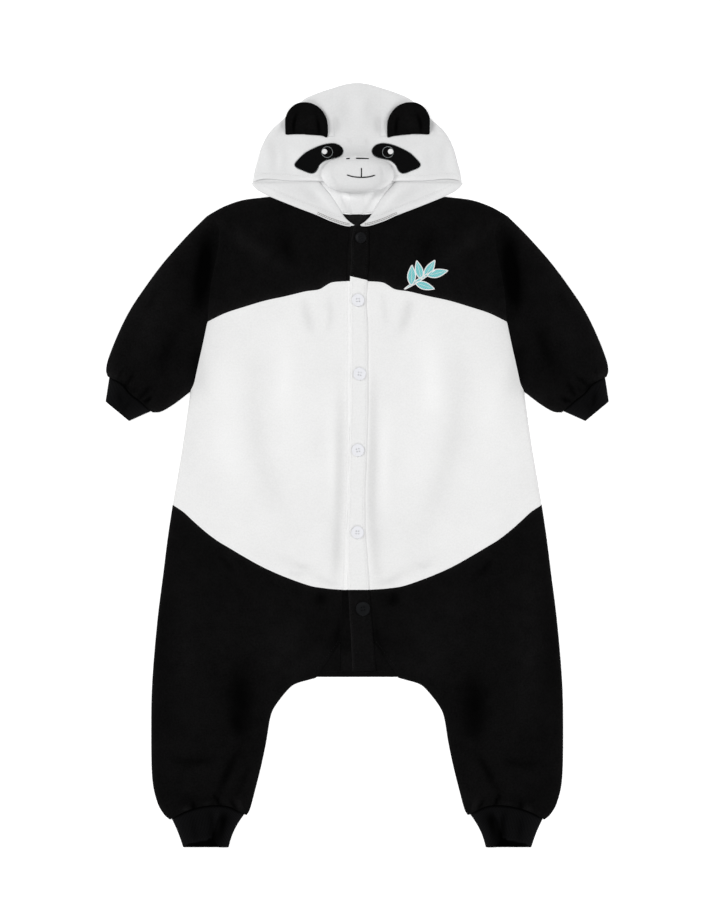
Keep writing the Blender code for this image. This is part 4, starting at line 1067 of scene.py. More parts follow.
def makeGusset():
    # beside and below the stand in front, over the fold, up to a point behind
    top, fold = gussetTop - 4, cut["crotchEnd"][1] + 2
    lay, under = cloth["lay"], gussetSpec["under"]
    standEnd = placket["rows"][-1][0]

    def frontRow(along, z, narrow=0.0):
        share = (along - gussetTop) / (cut["crotchEnd"][1] - gussetTop)
        reachTo = cut["crotchEnd"][0]
        a = -float(centreEdge(right, gussetTop)) * (1 - share) - reachTo * share - under + narrow
        d = float(centreEdge(left, gussetTop)) * (1 - share) + reachTo * share + under - narrow
        b = max(-float(centreEdge(right, max(along, standEnd))) - 0.3, a + 0.2)
        c = min(float(centreEdge(left, max(along, standEnd))) + 0.3, d - 0.2)
        return np.concatenate([np.linspace(a, b, 8), np.linspace(b, c, 15)[1:], np.linspace(c, d, 8)[1:]]), z

    rows = []
    sideRows = list(np.linspace(top, standEnd - 0.3, 16)) + list(np.linspace(standEnd - 2, fold + 8, 4))
    for along in sideRows:
        across, z = frontRow(along, lay)
        rows.append(np.stack([across, 0 * across + along, 0 * across + z], 1))
    for drop, share in gussetSpec["round"]:
        across, z = frontRow(fold + drop, lay * share, 0.8)
        rows.append(np.stack([across, 0 * across + fold + drop, 0 * across + z], 1))
    backAlong, backHalf = zip(*gussetSpec["back"])
    for along in np.concatenate([np.linspace(-423, backAlong[2], 8), np.linspace(-382, backAlong[3], 7)]):
        half = np.interp(along, backAlong, backHalf)
        across = np.linspace(-half, half, 29)
        rows.append(np.stack([across, 0 * across + along, 0 * across], 1))
    grid = np.array(rows)
    x, y, z = grid[..., 0], grid[..., 1], grid[..., 2]
    front = z > 0.5
    wave = foldHeight(x, y, [gussetSpec["crease"]]) + 0.35 * swell(x, y, 16, 0.9)
    edges = np.minimum(abs(x - x[:, :1]), abs(x - x[:, -1:]))
    grid[..., 2] = np.where(front, z + (z / lay) * (wave - 2.4 * bell(edges, 3)), z)
    # above the stand's end the middle is the stand's own place
    sides = [grid[:16, :8], grid[:16, -8:], grid[15:]]
    clothPiece("crotch_gusset", sides, "blackFleece",
               cutLength=np.linalg.norm(np.diff(grid, axis=0), axis=2).sum(0).max())


def makePlacket():
    half, lay = cloth["seam"] / 2, cloth["lay"]
    colours = {"yoke": ("blackFleece", "fleece_black"), "body": ("whiteFleece", "fleece_white"),
               "leg": ("blackFleece", "fleece_black")}
    top, low = placket["rows"][0][0], placket["rows"][-1][0]
    standEnds = {"yoke": (neckFoot, yokeFoot), "body": (yokeFoot, bellyFoot), "leg": (bellyFoot, low)}
    bandEnds = {"yoke": (top, placket["yokeEnd"]), "body": (placket["yokeEnd"], bellyFoot),
                "leg": (bellyFoot, low)}
    for part, (look, slotName) in colours.items():
        high, foot = standEnds[part]
        along = np.linspace(high - half, foot + half, max(int((high - foot) / 4), 8))
        a, b = -centreEdge(right, along) + half, centreEdge(left, along) - half
        free = bandAt(along, 2)
        x = np.concatenate([a[:, None] + (free - 0.2 - a)[:, None] * np.linspace(0, 1, 9),
                            (free + 0.6)[:, None] + (b - free - 0.6)[:, None] * np.linspace(0, 1, 7)], 1)
        y = along[:, None] + 0 * x
        # it rises beside the band's free edge, so that the edge hardly stands over it
        beside = bandAt(along, 2)[:, None] - x
        rise = softStep((beside + 0.6) / 0.8) * softStep((x - a[:, None]) / 5.0)
        ground = frontHeight(right, x, y)
        z = ground + (lay + 1.9 - ground) * rise \
            - (0.3 if part == "body" else 1.2) * bell(x - a[:, None], 2.2)
        # painted light where the strip rises; on the leg, painted shade down the stand and a little painted
        # light at its foot
        shade = 0.5 * rise if part != "leg" else 0.2 - 0.5 * softStep((y + 385) / 20)
        clothPiece("stand_" + part, [np.stack([x, y, z], 2)], look, paintedShades=[shade])

        high, foot = bandEnds[part]
        along = np.linspace(high - half, foot + half, max(int((high - foot) / 3), 8))
        t = 0.5 - 0.5 * np.cos(pi * np.linspace(0, 1, 24))
        wobble = 0.35 * np.sin(along / 23) + 0.25 * np.sin(along / 9.1 + 1)
        a, b = bandAt(along, 2) + 0.6 * wobble, bandAt(along, 3) + 0.4 * wobble[::-1]
        x = a[:, None] + (b - a)[:, None] * t
        y = along[:, None] + 0 * x
        y = y + placket["tilt"] * (0.5 - t) * bell(y - placket["yokeEnd"], 20)
        fromFree, fromSeam = x - a[:, None], b[:, None] - x
        edge = np.minimum(fromFree, fromSeam)
        z = placket["top"] + 0.3 * (1 - np.exp(-edge / 5)) - 0.8 * bell(fromFree, 1.0) \
            - 1.2 * bell(fromSeam, 1.6) - 0.15 * bell(edge - placket["stitched"], 1.3) \
            + 0.3 * swell(x, y, 9, 0.6)
        for end in along[[0, -1]]:
            if end != top - half:
                z = z - 0.6 * bell(y - end, 2.2)
        # painted light along the band's free edge and at its top end, painted shade along its seam and its
        # stitch rows
        rimLight = 0.8 if part == "body" else 2.4
        napAndPaintedShade = rimLight * np.exp(-fromFree / 2.0) - 0.5 * np.exp(-fromSeam / 1.6) \
            - 0.1 * bell(edge - placket["stitched"], 1.5) + (0.3 if part != "body" else -0.05)
        if part == "yoke":
            napAndPaintedShade += 2.0 * bell(top - y, 5)
        clothPiece("band_" + part, [np.stack([x, y, z], 2)], look, wall=placket["wall"],
                   paintedShades=[napAndPaintedShade], lowest=placket["under"])
    print("placket buttoned over")


hoodCut = {
    "edge": ((49, 754), (74, 746), (104, 733), (130, 711), (150, 690), (171, 671), (183, 655)),
    "edgeLow": ((183, 655), (194, 630), (201, 604), (206, 586), (209, 566)),
    "peak": ((0, 764), (9, 764), (30, 760), (49, 754)),
    "crownSeam": ((49, 754), (47, 709), (45, 656)),
    "earSeam": ((45, 656), (90, 659), (144, 661), (183, 655)),
    "rim": ((0, 560), (48, 563), (74, 567), (134, 568), (168, 571), (190, 571), (209, 566)),
    "lapelRim": ((211, 562), (203, 552), (186, 541), (133, 519), (81, 499), (57.8, 488.6), (32.8, 479.8),
                 (20, 476.8), (9, 476.6)),
    "lapelRoll": ((78, 565), (68, 554), (53.4, 535), (38.2, 512), (30.8, 498.6), (24.2, 491.2), (16.8, 485.4),
                  (10.8, 481.4), (6.2, 479)),
    "lapelFrom": 566,       # above this the lower layer is on the floor
    "lapelOn": 542,         # below this it lies over the shoulders
    "underHem": 2.7,        # how far the lower layer has risen where it comes out under the hem
    "rimLay": 7.0,
    "hem": 10.5,            # the stitch row's distance from the front edge
    "strip": ((748, 46), (502, 10)),        # the strip down the lower layer: along, half width
    "lapelTop": 8.7,
}
hoodFolds = (
    (((-44, 700), (-41, 680), (-47, 658)), 7, -2.2),
    (((44, 702), (41, 680), (47, 658)), 7, -2.2),
    (((-150, 694), (-149, 676), (-158, 660)), 6, -2.0),
    (((150, 694), (149, 676), (158, 660)), 6, -2.0),
    (((-20, 654), (-15, 647), (-9, 640)), 3.2, -1.3),
    (((22, 654), (19, 646), (24, 638)), 3.2, -1.3),
    (((-56, 654), (-50, 650), (-44, 646)), 3.5, -0.9),
    (((-176, 652), (-168, 618), (-172, 584)), 12, -1.3),
    (((-150, 640), (-142, 610), (-146, 578)), 10, -1.0),
    (((-158, 640), (-155, 612), (-158, 580)), 6, 1.0),
    (((178, 650), (170, 616), (174, 582)), 12, -1.3),
    (((146, 640), (140, 612), (148, 578)), 10, -1.0),
    (((-62, 611), (-34, 617), (0, 618.5), (38, 617), (70, 611)), 4.5, -2.0),
    (((-84, 612), (-78, 590), (-80, 570)), 8, -1.6),
    (((86, 612), (80, 590), (82, 570)), 8, -1.6),
    (((0, 748), (4, 710), (-2, 670)), 16, 0.9),
    (((-24, 740), (-28, 706), (-22, 672)), 10, -0.8),
    (((26, 740), (22, 700), (27, 670)), 10, -0.8),
    (((-120, 574), (-90, 571), (-62, 570)), 5, 1.0),
    (((120, 575), (92, 572), (66, 570)), 5, 1.0),
)
neckFolds = [(sidedRun(side, path), 4, rise) for side in (right, left) for path, rise in (
    (((52, 560), (40, 544), (28, 518)), 0.8), (((40, 562), (31, 540), (22, 514)), -0.5))]
lapelFolds = (
    (((-198, 562), (-176, 552), (-150, 546)), 9, 1.6),
    (((-186, 546), (-150, 528), (-108, 512)), 7, 1.0),
    (((-120, 560), (-96, 540), (-72, 520)), 9, -1.3),
    (((-88, 556), (-68, 532), (-46, 508)), 6, 1.3),
    (((-80, 514), (-56, 500), (-34, 488)), 6, -1.0),
    (((198, 562), (176, 552), (150, 546)), 9, 1.5),
    (((184, 545), (148, 527), (110, 512)), 7, 1.0),
    (((124, 560), (98, 538), (70, 519)), 9, -1.3),
    (((88, 556), (70, 534), (48, 508)), 6, 1.3),
    (((78, 513), (58, 501), (36, 489)), 6, -1.0),
)
# painted shade and painted light on the hood, darker or lighter without the cloth rising: route, width, shade
hoodPaintedShades = (
    (((0, 760), (0, 700), (0, 660)), 40, -0.3),
    (((-190, 640), (-182, 610), (-190, 578)), 12, 0.5),
    (((190, 640), (182, 610), (190, 578)), 12, 0.5),
    (((-124, 640), (-130, 610), (-130, 578)), 26, 0.4),
    (((124, 640), (130, 610), (130, 578)), 26, 0.4),
    (((-46, 650), (0, 640), (46, 650)), 12, 0.3),
    (((-46, 700), (-42, 685), (-40, 662)), 10, -0.4),
    (((46, 700), (42, 685), (40, 662)), 10, -0.4),
    (((-64, 618), (-86, 600), (-88, 572)), 16, 0.6),
    (((64, 618), (88, 600), (90, 572)), 16, 0.7),
    (((-60, 622), (-78, 598), (-74, 560)), 7, 1.5),
    (((60, 622), (79, 598), (76, 560)), 7, 1.7),
)


def hoodBase(y):
    # the layer lies a little higher toward the front edge
    return cloth["lay"] + (hoodCut["rimLay"] - cloth["lay"]) * np.clip((650 - y) / 70, 0, 1)


def hoodHeight(x, y):
    z = hoodBase(y)
    return np.clip(z + foldHeight(x, y, hoodFolds) + 0.45 * swell(x, y, 22, 1.3)
                   + 0.25 * swell(x, y, 9, 0.7), 3.2, 9.4)


def makeHood():
    half = cloth["seam"] / 2
    panelStep, cloth["step"] = cloth["step"], 3.4
    u, v = np.linspace(0, 1, 15), crowded(108)
    seam = smoothRun(hoodCut["crownSeam"], v)
    plan = coons(smoothRun(hoodCut["peak"], u), np.stack([45 * u, 0 * u + 656], 1),
                 np.stack([0 * v, 764 - 108 * v], 1), seam, u, v)
    plan = bothHalves(moved(plan, outer=half, bottom=half))
    # painted light along the crown's rolled top edge
    grid, napAndPaintedShade = panelGrid(left, plan, hoodHeight,
                          ((plan[:, 0], 0.35, 2), (plan[:, -1], 0.35, 2), (plan[-1], 0.3, 2)),
                          (plan[0],), ((plan[0], 0.5, 6),), hoodPaintedShades, hoodBase)
    clothPiece("hood_crown", [grid], "hoodFleece", paintedShades=[napAndPaintedShade])

    for side in (right, left):
        # the side panel fans from the inner end of the ear seam
        u, v = crowded(120)[1:], np.linspace(0, 1, 44)
        hub = np.array([[45.6, 656.6]])
        plan = coons(smoothRun(hoodCut["crownSeam"][::-1], u), smoothRun(hoodCut["earSeam"], u),
                     np.repeat(hub, len(v), 0), smoothRun(hoodCut["edge"], v), u, v)
        plan[0, :, 0] += half
        plan[-1, :, 1] += half
        # painted light along the side's rolled outer edge
        grid, napAndPaintedShade = panelGrid(side, plan, hoodHeight, ((plan[0], 0.35, 2), (plan[-1], 0.3, 2)),
                              (plan[:, -1],), ((plan[:, -1], 0.5, 6),), hoodPaintedShades, hoodBase)
        clothPiece("hood_side_" + sideWord[side], [grid], "hoodFleece",
                   paintedShades=[napAndPaintedShade])

    u, v = crowded(200, 0.6), crowded(92)
    top = smoothRun(((0, 656), *hoodCut["earSeam"]), u)
    plan = coons(top, smoothRun(hoodCut["rim"], u), np.stack([0 * v, 656 - 96 * v], 1),
                 smoothRun(hoodCut["edgeLow"], v), u, v)
    plan = bothHalves(moved(plan, top=half))
    # painted light along both rolled side edges
    grid, napAndPaintedShade = panelGrid(left, plan, hoodHeight, ((plan[0], 0.3, 2),), (plan[:, 0], plan[:, -1]),
                          ((plan[:, 0], 0.4, 6), (plan[:, -1], 0.4, 6)), hoodPaintedShades, hoodBase)
    rimFar = reach(plan[..., 0], plan[..., 1], plan[-1])
    inward = 0.25 + 0.75 * softStep((200 - abs(grid[..., 0])) / 26)
    grid[..., 2] += inward * (0.4 * bell(rimFar - 4, 3) - 0.8 * bell(rimFar, 1.6)
                              - 0.3 * bell(rimFar - hoodCut["hem"], 1.5))
    # painted light along the front edge
    clothPiece("hood_face_band", [grid], "hoodFleece",
               paintedShades=[napAndPaintedShade + 0.4 * np.exp(-rimFar / 3)])
    cloth["step"] = panelStep


def napeSeam(along):
    # half the width of the strip down the middle of the lower layer
    (top, wide), (foot, narrow) = hoodCut["strip"]
    t = np.clip((top - np.asarray(along, float)) / (top - foot), 0, 1)
    return wide + (narrow - wide) * t


def makeHoodLow():
    # the lower layer: flat on the floor, then turned out over the shoulders as lapels
    half, wall = cloth["seam"] / 2, cloth["wall"]
    along = np.linspace(750, 502, 64)
    wide = napeSeam(along) - half
    t = np.linspace(-1, 1, 9)
    x = wide[:, None] * t
    y = along[:, None] + 0 * x
    z = wall + 0.5 * np.cos(t * pi / 2) * softStep((580 - y) / 20) - 0.9 * bell(y - 502, 3)
    # painted light across the strip just under the chin
    clothPiece("hood_back_strip", [np.stack([x, y, np.maximum(z, wall - 0.9)], 2)], "hoodFleece",
               paintedShades=[1.8 * bell(y - 540, 9)])

    border = np.vstack([denseRun(hoodCut["edge"]), denseRun(hoodCut["edgeLow"])[1:]])
    border = offsetLine(border, -closedInset)
    for side in (right, left):
        fromTop = np.linspace(746, hoodCut["lapelFrom"], 46)
        inner = napeSeam(fromTop) + half
        outer = np.interp(-fromTop, -border[:, 1], border[:, 0])
        share = (hoodCut["lapelRoll"][0][0] - inner[-1]) / (outer[-1] - inner[-1])
        split = inner + (outer - inner) * share
        near, far = np.linspace(0, 1, 26), 1 - (1 - np.linspace(0, 1, 32)) ** 1.35
        xs = np.concatenate([inner[:, None] + (split - inner)[:, None] * near,
                             (split[:, None] + (outer - split)[:, None] * far)[:, 1:]], 1)
        lifted = hoodCut["underHem"] * softStep((hoodCut["lapelFrom"] + 13 - fromTop[:, None]) / 13)
        flat = np.stack([side * xs, fromTop[:, None] + 0 * xs, wall + lifted * softStep((xs - 44) / 30)], 2)

        start, begin = (outer[-1], hoodCut["lapelFrom"]), (split[-1], hoodCut["lapelFrom"])
        rows = np.linspace(0, 1, 74)
        rim = smoothRun((start, *hoodCut["lapelRim"]), rows)
        roll = smoothRun((begin, *hoodCut["lapelRoll"][1:]), rows)
        plan = roll[:, None] * (1 - far[None, :, None]) + rim[:, None] * far[None, :, None]
        # at the outer corner it turns up at once into the face band's hem
        ramp = hoodCut["lapelFrom"] - hoodCut["lapelOn"] - 19 * softStep((plan[..., 0] - 158) / 26)
        below = hoodCut["lapelFrom"] - plan[..., 1]
        rise = 0.6 * softStep(below / 3.4) + 0.4 * np.clip(below / ramp, 0, 1)
        lift = hoodCut["underHem"] * softStep((plan[..., 0] - 44) / 30)
        x = side * plan[..., 0]
        rimFar = reach(plan[..., 0], plan[..., 1], rim)
        z = wall + lift + (hoodCut["lapelTop"] - wall - lift) * rise
        z = z + rise * (foldHeight(x, plan[..., 1], lapelFolds) + 0.4 * swell(x, plan[..., 1], 13, 0.5)
                        - 1.2 * bell(rimFar, 1.5) + 0.5 * bell(rimFar - 5, 3)
                        - 0.8 * bell(rimFar - 15, 1.7))
        lapel = np.stack([x, plan[..., 1], np.clip(z, wall, 11)], 2)
        underHem = bell(plan[..., 1] - 566, 10) * softStep((196 - abs(x)) / 30)
        # painted shade and painted light on the lapel: after its folds, lighter along its rim, darker along
        # the stitch row and under the hood's hem
        lapelPaintedShade = foldHeight(x, plan[..., 1], lapelFolds) / 2.4 + 0.35 * np.exp(-rimFar / 3) \
            - 0.3 * bell(rimFar - 15, 2) - 0.1 * underHem
        # darker along the two rows of small stitches close to the tip's edge
        lapelPaintedShade -= softStep((80 - abs(x)) / 16) * (0.9 * bell(rimFar - 2.8, 1.4)
                                                    + 0.6 * bell(rimFar - 5.8, 1.4))
        # the roll's own round edge, turned down toward the neck
        out = roll - rim
        out /= np.maximum(np.hypot(out[:, 0], out[:, 1]), 1e-6)[:, None]
        rounds = []
        lean = 1 - 0.7 * softStep((rows[:, None] - 0.7) / 0.3)
        for across, drop in ((3.6, 4.6), (3.5, 3.0), (3.0, 1.6), (1.9, 0.55)):
            spot = roll + out * across * lean
            low = np.maximum(lapel[:, 0, 2] - drop, wall + 0.05)
            rounds.append(np.stack([side * spot[:, 0], spot[:, 1], low], 1))
        turned = np.stack([*rounds, lapel[:, 0]], 1)

        down = np.linspace(0, 1, 40)
        yIn = hoodCut["lapelFrom"] + (502.3 - hoodCut["lapelFrom"]) * down
        leftEnd = np.stack([napeSeam(yIn) + half, yIn], 1)
        rightEnd = np.array(begin) * (1 - down)[:, None] + np.array((43, 508.3)) * down[:, None]
        plan = leftEnd[:, None] * (1 - near[None, :, None]) + rightEnd[:, None] * near[None, :, None]
        x = side * plan[..., 0]
        fade = softStep((hoodCut["lapelFrom"] - plan[..., 1]) / 8)
        rollFar = reach(plan[..., 0], plan[..., 1], roll)
        z = wall + fade * (4.6 * (1 - softStep((rollFar - 4) / 15)) + foldHeight(x, plan[..., 1], neckFolds)
                           + 0.5 * bell(plan[..., 0] - leftEnd[:, :1] - 6, 4)
                           + 0.25 * swell(x, plan[..., 1], 9, 0.8))
        inside = np.stack([x, plan[..., 1], np.maximum(z, wall - 0.7)], 2)
        # painted light on the raised roll and toward the top, painted shade in a band beside the roll, and
        # painted light just under the chin
        insidePaintedShade = 0.2 * np.clip(z - wall - 1, -1, 2) + 0.6 * softStep((plan[..., 1] - 505) / 30) \
            - 0.5 * bell(rollFar - 19, 5) \
            + 1.8 * bell(plan[..., 1] - 538 - 18 * (x / 60) ** 2, 9)
        # a little painted shade on the roll's turned edge
        paintedShades = [0 * xs, lapelPaintedShade, np.full(turned.shape[:2], -0.2), insidePaintedShade]
        clothPiece("hood_back_" + sideWord[side], [flat, lapel, turned, inside], "hoodFleece",
                   paintedShades=paintedShades)
    print("hood sewn up")


# stuffed pieces

def cushion(name, node, rings, shrink, voxel, pressure, cap, place=None):
    # the rings' form is remeshed, blown up a little, smoothed and fitted to the node's place
    b = bmesh.new()
    loft(b, [[Vector(p) * mm for p in ring] for ring in rings], 1)
    centre = sum((v.co for v in b.verts), Vector()) / len(b.verts)
    size = [max(v.co[k] for v in b.verts) - min(v.co[k] for v in b.verts) for k in range(3)]
    for vert in b.verts:
        for k in range(3):
            vert.co[k] = centre[k] + (vert.co[k] - centre[k]) * (1 - 2 * shrink * mm / size[k])
    piece = linked(name, meshFrom(name, b))
    deselectAll()
    bpy.context.view_layer.objects.active = piece
    piece.select_set(True)
    remesh = piece.modifiers.new("remesh", "REMESH")
    remesh.mode = "VOXEL"
    remesh.voxel_size = voxel * mm
    bpy.ops.object.modifier_apply(modifier="remesh")
    before = np.array([v.co for v in piece.data.vertices])
    sim = piece.modifiers.new("stuffing", "CLOTH")
    sim.settings.use_pressure = True
    sim.settings.uniform_pressure_force = pressure
    sim.settings.effector_weights.gravity = 0
    sim.point_cache.frame_start, sim.point_cache.frame_end = 1, 20
    for step in range(1, 21):
        bpy.context.scene.frame_set(step)
    blown = bpy.data.meshes.new_from_object(piece.evaluated_get(bpy.context.evaluated_depsgraph_get()))
    after = np.array([v.co for v in blown.vertices])
    piece.modifiers.clear()
    bpy.data.meshes.remove(blown)
    bpy.context.scene.frame_set(1)
    move = after - before
    size = np.linalg.norm(move, axis=1, keepdims=True)
    move *= np.minimum(1, cap * mm / np.maximum(size, 1e-9))
    for vert, spot in zip(piece.data.vertices, before + move):
        vert.co = spot
    smooth = piece.modifiers.new("smooth", "SUBSURF")
    smooth.levels = smooth.render_levels = 1
    bpy.ops.object.modifier_apply(modifier="smooth")
    low, high = (np.array(corner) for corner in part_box(node))
    if place is not None:
        low[:2], high[:2] = place[0], place[1]
    spots = np.array([v.co for v in piece.data.vertices])
    spots = low + (spots - spots.min(0)) / np.ptp(spots, axis=0) * (high - low)
    for vert, spot in zip(piece.data.vertices, spots):
        vert.co = spot
    piece.data.shade_smooth()
    return piece


def pressed(piece, seams, lowest=None):
    # seams and creases pushed into a stuffed piece, as folds in plan that fade toward its foot
    spots = np.array([v.co for v in piece.data.vertices]) / mm
    normals = np.array([v.normal for v in piece.data.vertices])
    depth = foldHeight(spots[:, 0], spots[:, 1], seams)
    upper = softStep((normals[:, 2] + 0.1) / 0.5)
    spots += normals * (depth * upper)[:, None]
    if lowest is not None:
        spots[:, 2] = np.maximum(spots[:, 2], lowest)
    for vert, spot in zip(piece.data.vertices, spots * mm):
        vert.co = spot


muzzleSpec = {
    "across": 0.6, "along": 580.5, "foot": 7.9,
    "rings": ((7.8, 70, 33, 34), (10.6, 72, 34, 36), (15.5, 66, 33.5, 37), (22.5, 56.5, 32, 36.5),
              (30, 45, 28, 32), (35.8, 32, 21, 24), (39.2, 17, 12, 14)),
    "spread": (72.0, 35.0, 38.0),       # half width, reach up and reach down of the finished pad
    "creases": ((((-58, 586), (-52, 570), (-44, 556)), 3.5, -1.2),
                (((44, 596), (52, 580), (48, 562)), 4.0, -0.9),
                (((40, 552), (52, 558), (62, 566)), 2.6, -1.2),
                (((-40, 602), (-20, 608), (2, 609), (26, 608), (44, 602)), 3.2, -1.5),
                (((8.4, 588.5), (8.6, 578.5), (8.4, 570.5)), 2.2, -1.6),
                (((-20.4, 574.8), (-8, 571.3), (8.4, 569.7), (24, 571.3), (35.4, 574.8)), 2.2, -1.3),
                (((-8, 600), (-6, 592), (-9, 584)), 5, 0.8)),
    "mouth": (((8.4, 588.5), (8.6, 578.5), (8.4, 569.7)),
              ((-20.4, 574.8), (-8, 571.3), (8.4, 569.7)),
              ((8.4, 569.7), (24, 571.3), (35.4, 574.8))),
    "thread": 1.25,
}


def makeMuzzle():
    # rings: height, half width, reach up the face, reach down
    rings = []
    for height, wide, up, down in muzzleSpec["rings"]:
        ring = []
        for a in np.linspace(0, 2 * pi, 73)[:-1]:
            c, s = cos(a), sin(a)
            x = wide * abs(c) ** 0.82 * (1 if c >= 0 else -1)
            y = (up if s >= 0 else down) * abs(s) ** 0.82 * (1 if s >= 0 else -1)
            ring.append((muzzleSpec["across"] + x, muzzleSpec["along"] + y, height))
        rings.append(ring)
    wide, up, down = muzzleSpec["spread"]
    centre = np.array((muzzleSpec["across"], muzzleSpec["along"]))
    piece = cushion("muzzle_pad", "muzzle", rings, 2.2, 4.0, 4.0, 3.0,
                    ((centre - (wide, down)) * mm, (centre + (wide, up)) * mm))
    pressed(piece, muzzleSpec["creases"], muzzleSpec["foot"])
    # painted light on the low sides of the pad
    paintedShade = piece.data.attributes.new("napAndPaintedShade", "FLOAT", "POINT")
    for vert in piece.data.vertices:
        chin = float(softStep((594 - vert.co.y / mm) / 20))       # painted light, strongest under the chin
        lowness = float(np.clip((27 - vert.co.z / mm) / 7, -0.1, 2.6))
        paintedShade.data[vert.index].value = lowness * (0.15 + 0.85 * chin)
    finished(piece, "hoodFleece", ["muzzle"])
    skin = Surface(piece)
    b = bmesh.new()
    for path in muzzleSpec["mouth"]:
        line = smoothRun(path, np.linspace(0, 1, 14))
        spots = [(x, y, skin.height(x, y) + 0.2) for x, y in line]
        loft(b, tubeRings(spots, muzzleSpec["thread"]))
    madePiece("mouth_thread", b, "blackThread")
    makeNose(skin)
    print("muzzle stuffed")


noseSpec = {"from": -24.0, "to": 25.0, "along": 610.2, "bow": 1.0, "deep": 6.0, "wall": 4.0,
            "shows": ((-23.0, -13.4), (-3.6, 24.4))}     # where its edge stands out of the crease


def makeNose(skin):
    # a felt oval on its edge in the crease above the muzzle
    face = overCloths("hood_face_band")
    x = np.linspace(noseSpec["from"], noseSpec["to"], 57)
    t = (x - noseSpec["from"]) / (noseSpec["to"] - noseSpec["from"])
    y = noseSpec["along"] - noseSpec["bow"] * (2 * t - 1) ** 2
    ground = np.array([max(skin.height(a, b) or 0, face.height(a, b) or 0) for a, b in zip(x, y)])
    out = np.full(x.shape, -0.9)
    for a, b in noseSpec["shows"]:
        out = np.maximum(out, -0.9 + 3.0 * softStep((x - a) / 2.0) * softStep((b - x) / 2.0))
    top = ground + out
    deep = noseSpec["deep"] * np.sqrt(np.clip(1 - (2 * t - 1) ** 2, 0.04, 1))
    rows = [np.stack([x, y, top - deep * k], 1) for k in np.linspace(1, 0, 9)]
    piece = linked("nose_felt", gridMesh("nose_felt", [np.array(rows)]))
    thickened(piece, noseSpec["wall"])
    finished(piece, "blackFelt", ["nose"])


earSpec = {
    "darts": {right: ((((-126, 655), (-126, 680), (-119, 706)), 3.4, -2.6),
                      (((-75, 655), (-77, 676), (-80, 694)), 3.4, -2.4),
                      (((-100, 658), (-102, 676), (-98, 690)), 5.0, -0.8)),
              left: ((((127, 655), (126, 680), (118, 704)), 3.4, -2.5),
                     (((76, 655), (78, 678), (80, 696)), 3.4, -2.5),
                     (((100, 658), (98, 678), (102, 692)), 5.0, -0.8))},
    "outline": ((143.6, 660.5), (143.8, 678), (143.6, 691.5), (140, 701.5), (134.2, 710.6), (125.8, 718),
                (115.8, 722.3), (102.8, 723.6), (91, 721.2), (81, 716.6), (72.7, 709.8), (65.1, 699.9),
                (60.1, 688.3), (58.5, 678), (58.2, 665), (58.8, 653.8)),
    "base": ((58.8, 653.8), (68, 655.8), (81, 657.1), (99, 658.4), (124, 660), (143.6, 660.5)),
    "rings": ((6.7, 0.96), (9.0, 1.0), (13.2, 0.97), (17.4, 0.8), (19.7, 0.4)),
    "centre": (101.0, 688.0), "foot": 6.9, "aside": {right: 0.0, left: 1.3},
}


def makeEars():
    for side in (right, left):
        word = sideWord[side]
        aside = np.array((earSpec["aside"][side], 0.0))
        outline = denseRun(sidedRun(side, earSpec["outline"])) + aside
        base = np.array(sidedRun(side, earSpec["base"]), float) + aside
        loop = np.vstack([outline, denseRun(base)[1:-1]])
        centre = np.array((side * earSpec["centre"][0], earSpec["centre"][1])) + aside
        rings = [[(*(centre + (p - centre) * wide), height) for p in loop]
                 for height, wide in earSpec["rings"]]
        piece = cushion("ear_pad_" + word, "ear_" + word, rings, 1.0, 3.0, 4.0, 2.2,
                        (loop.min(0) * mm, loop.max(0) * mm))
        pressed(piece, earSpec["darts"][side])
        # sewn down flat along its base; painted shade in the darts, painted light between them
        paintedShade = piece.data.attributes.new("napAndPaintedShade", "FLOAT", "POINT")
        shades = earSpec["darts"][side] + ((((side * 101, 660), (side * 101, 700)), 14, 1.0),)
        spots = np.array([v.co for v in piece.data.vertices]) / mm
        paintedShade.data.foreach_set("value", 0.4 * foldHeight(spots[:, 0], spots[:, 1], shades))
        for vert in piece.data.vertices:
            x, y, z = np.array(vert.co) / mm
            near = reach(np.array([x]), np.array([y]), base)[0]
            vert.co.z = (earSpec["foot"] + (z - earSpec["foot"]) * (0.16 + 0.84 * softStep(near / 20))) * mm
        finished(piece, "blackFleece", ["ear_" + word])
    print("ears stuffed")


eyeSpec = {
    "outline": ((30, 633.8), (27.5, 626.8), (31, 618.8), (40, 613.8), (52, 610.8), (64.5, 607.3), (75, 598.8),
                (80, 588.8), (86, 582.8), (95, 582.3), (109, 587.8), (120.4, 592.8), (125.4, 599.8),
                (118, 610.3), (103.5, 623.8), (84.5, 633.8), (67, 640.3), (49, 642.8), (37, 639.8)),
    "aside": {right: 0.0, left: 1.4},
    "thick": 1.4,
    "ring": (60, 624.6, 10.9), "ringWidth": 0.9, "glint": (65.2, 625.8, 5.4),
    "stitchEvery": 3.2,
}


def domedPatch(name, outline, surface, thick, look, edge=2.2, nodes=(), layers=7):
    # a felt patch from its outline: rings shrink to the middle, the edge rounds down to the cloth
    outline = np.asarray(outline, float)
    centre = outline.mean(0)
    rings = []
    size = np.hypot(*(outline - centre).T).mean()
    insets = [0.0, 0.25 * edge / size, edge / size] + list(np.linspace(edge / size, 1, layers)[1:])
    lifts = [0.15, 0.75, 1.0] + [1.0] * (layers - 1)
    for inset, lift in zip(insets, lifts):
        ring = centre + (outline - centre) * (1 - min(inset, 0.995))
        rings.append([(x, y, (surface.height(x, y) or surface.height(*centre)) + 0.1 + thick * lift)
                      for x, y in ring])
    low = [(x, y, (surface.height(x, y) or surface.height(*centre)) - 0.2) for x, y in outline]
    b = bmesh.new()
    loft(b, [low] + rings)
    return madePiece(name, b, look, nodes)


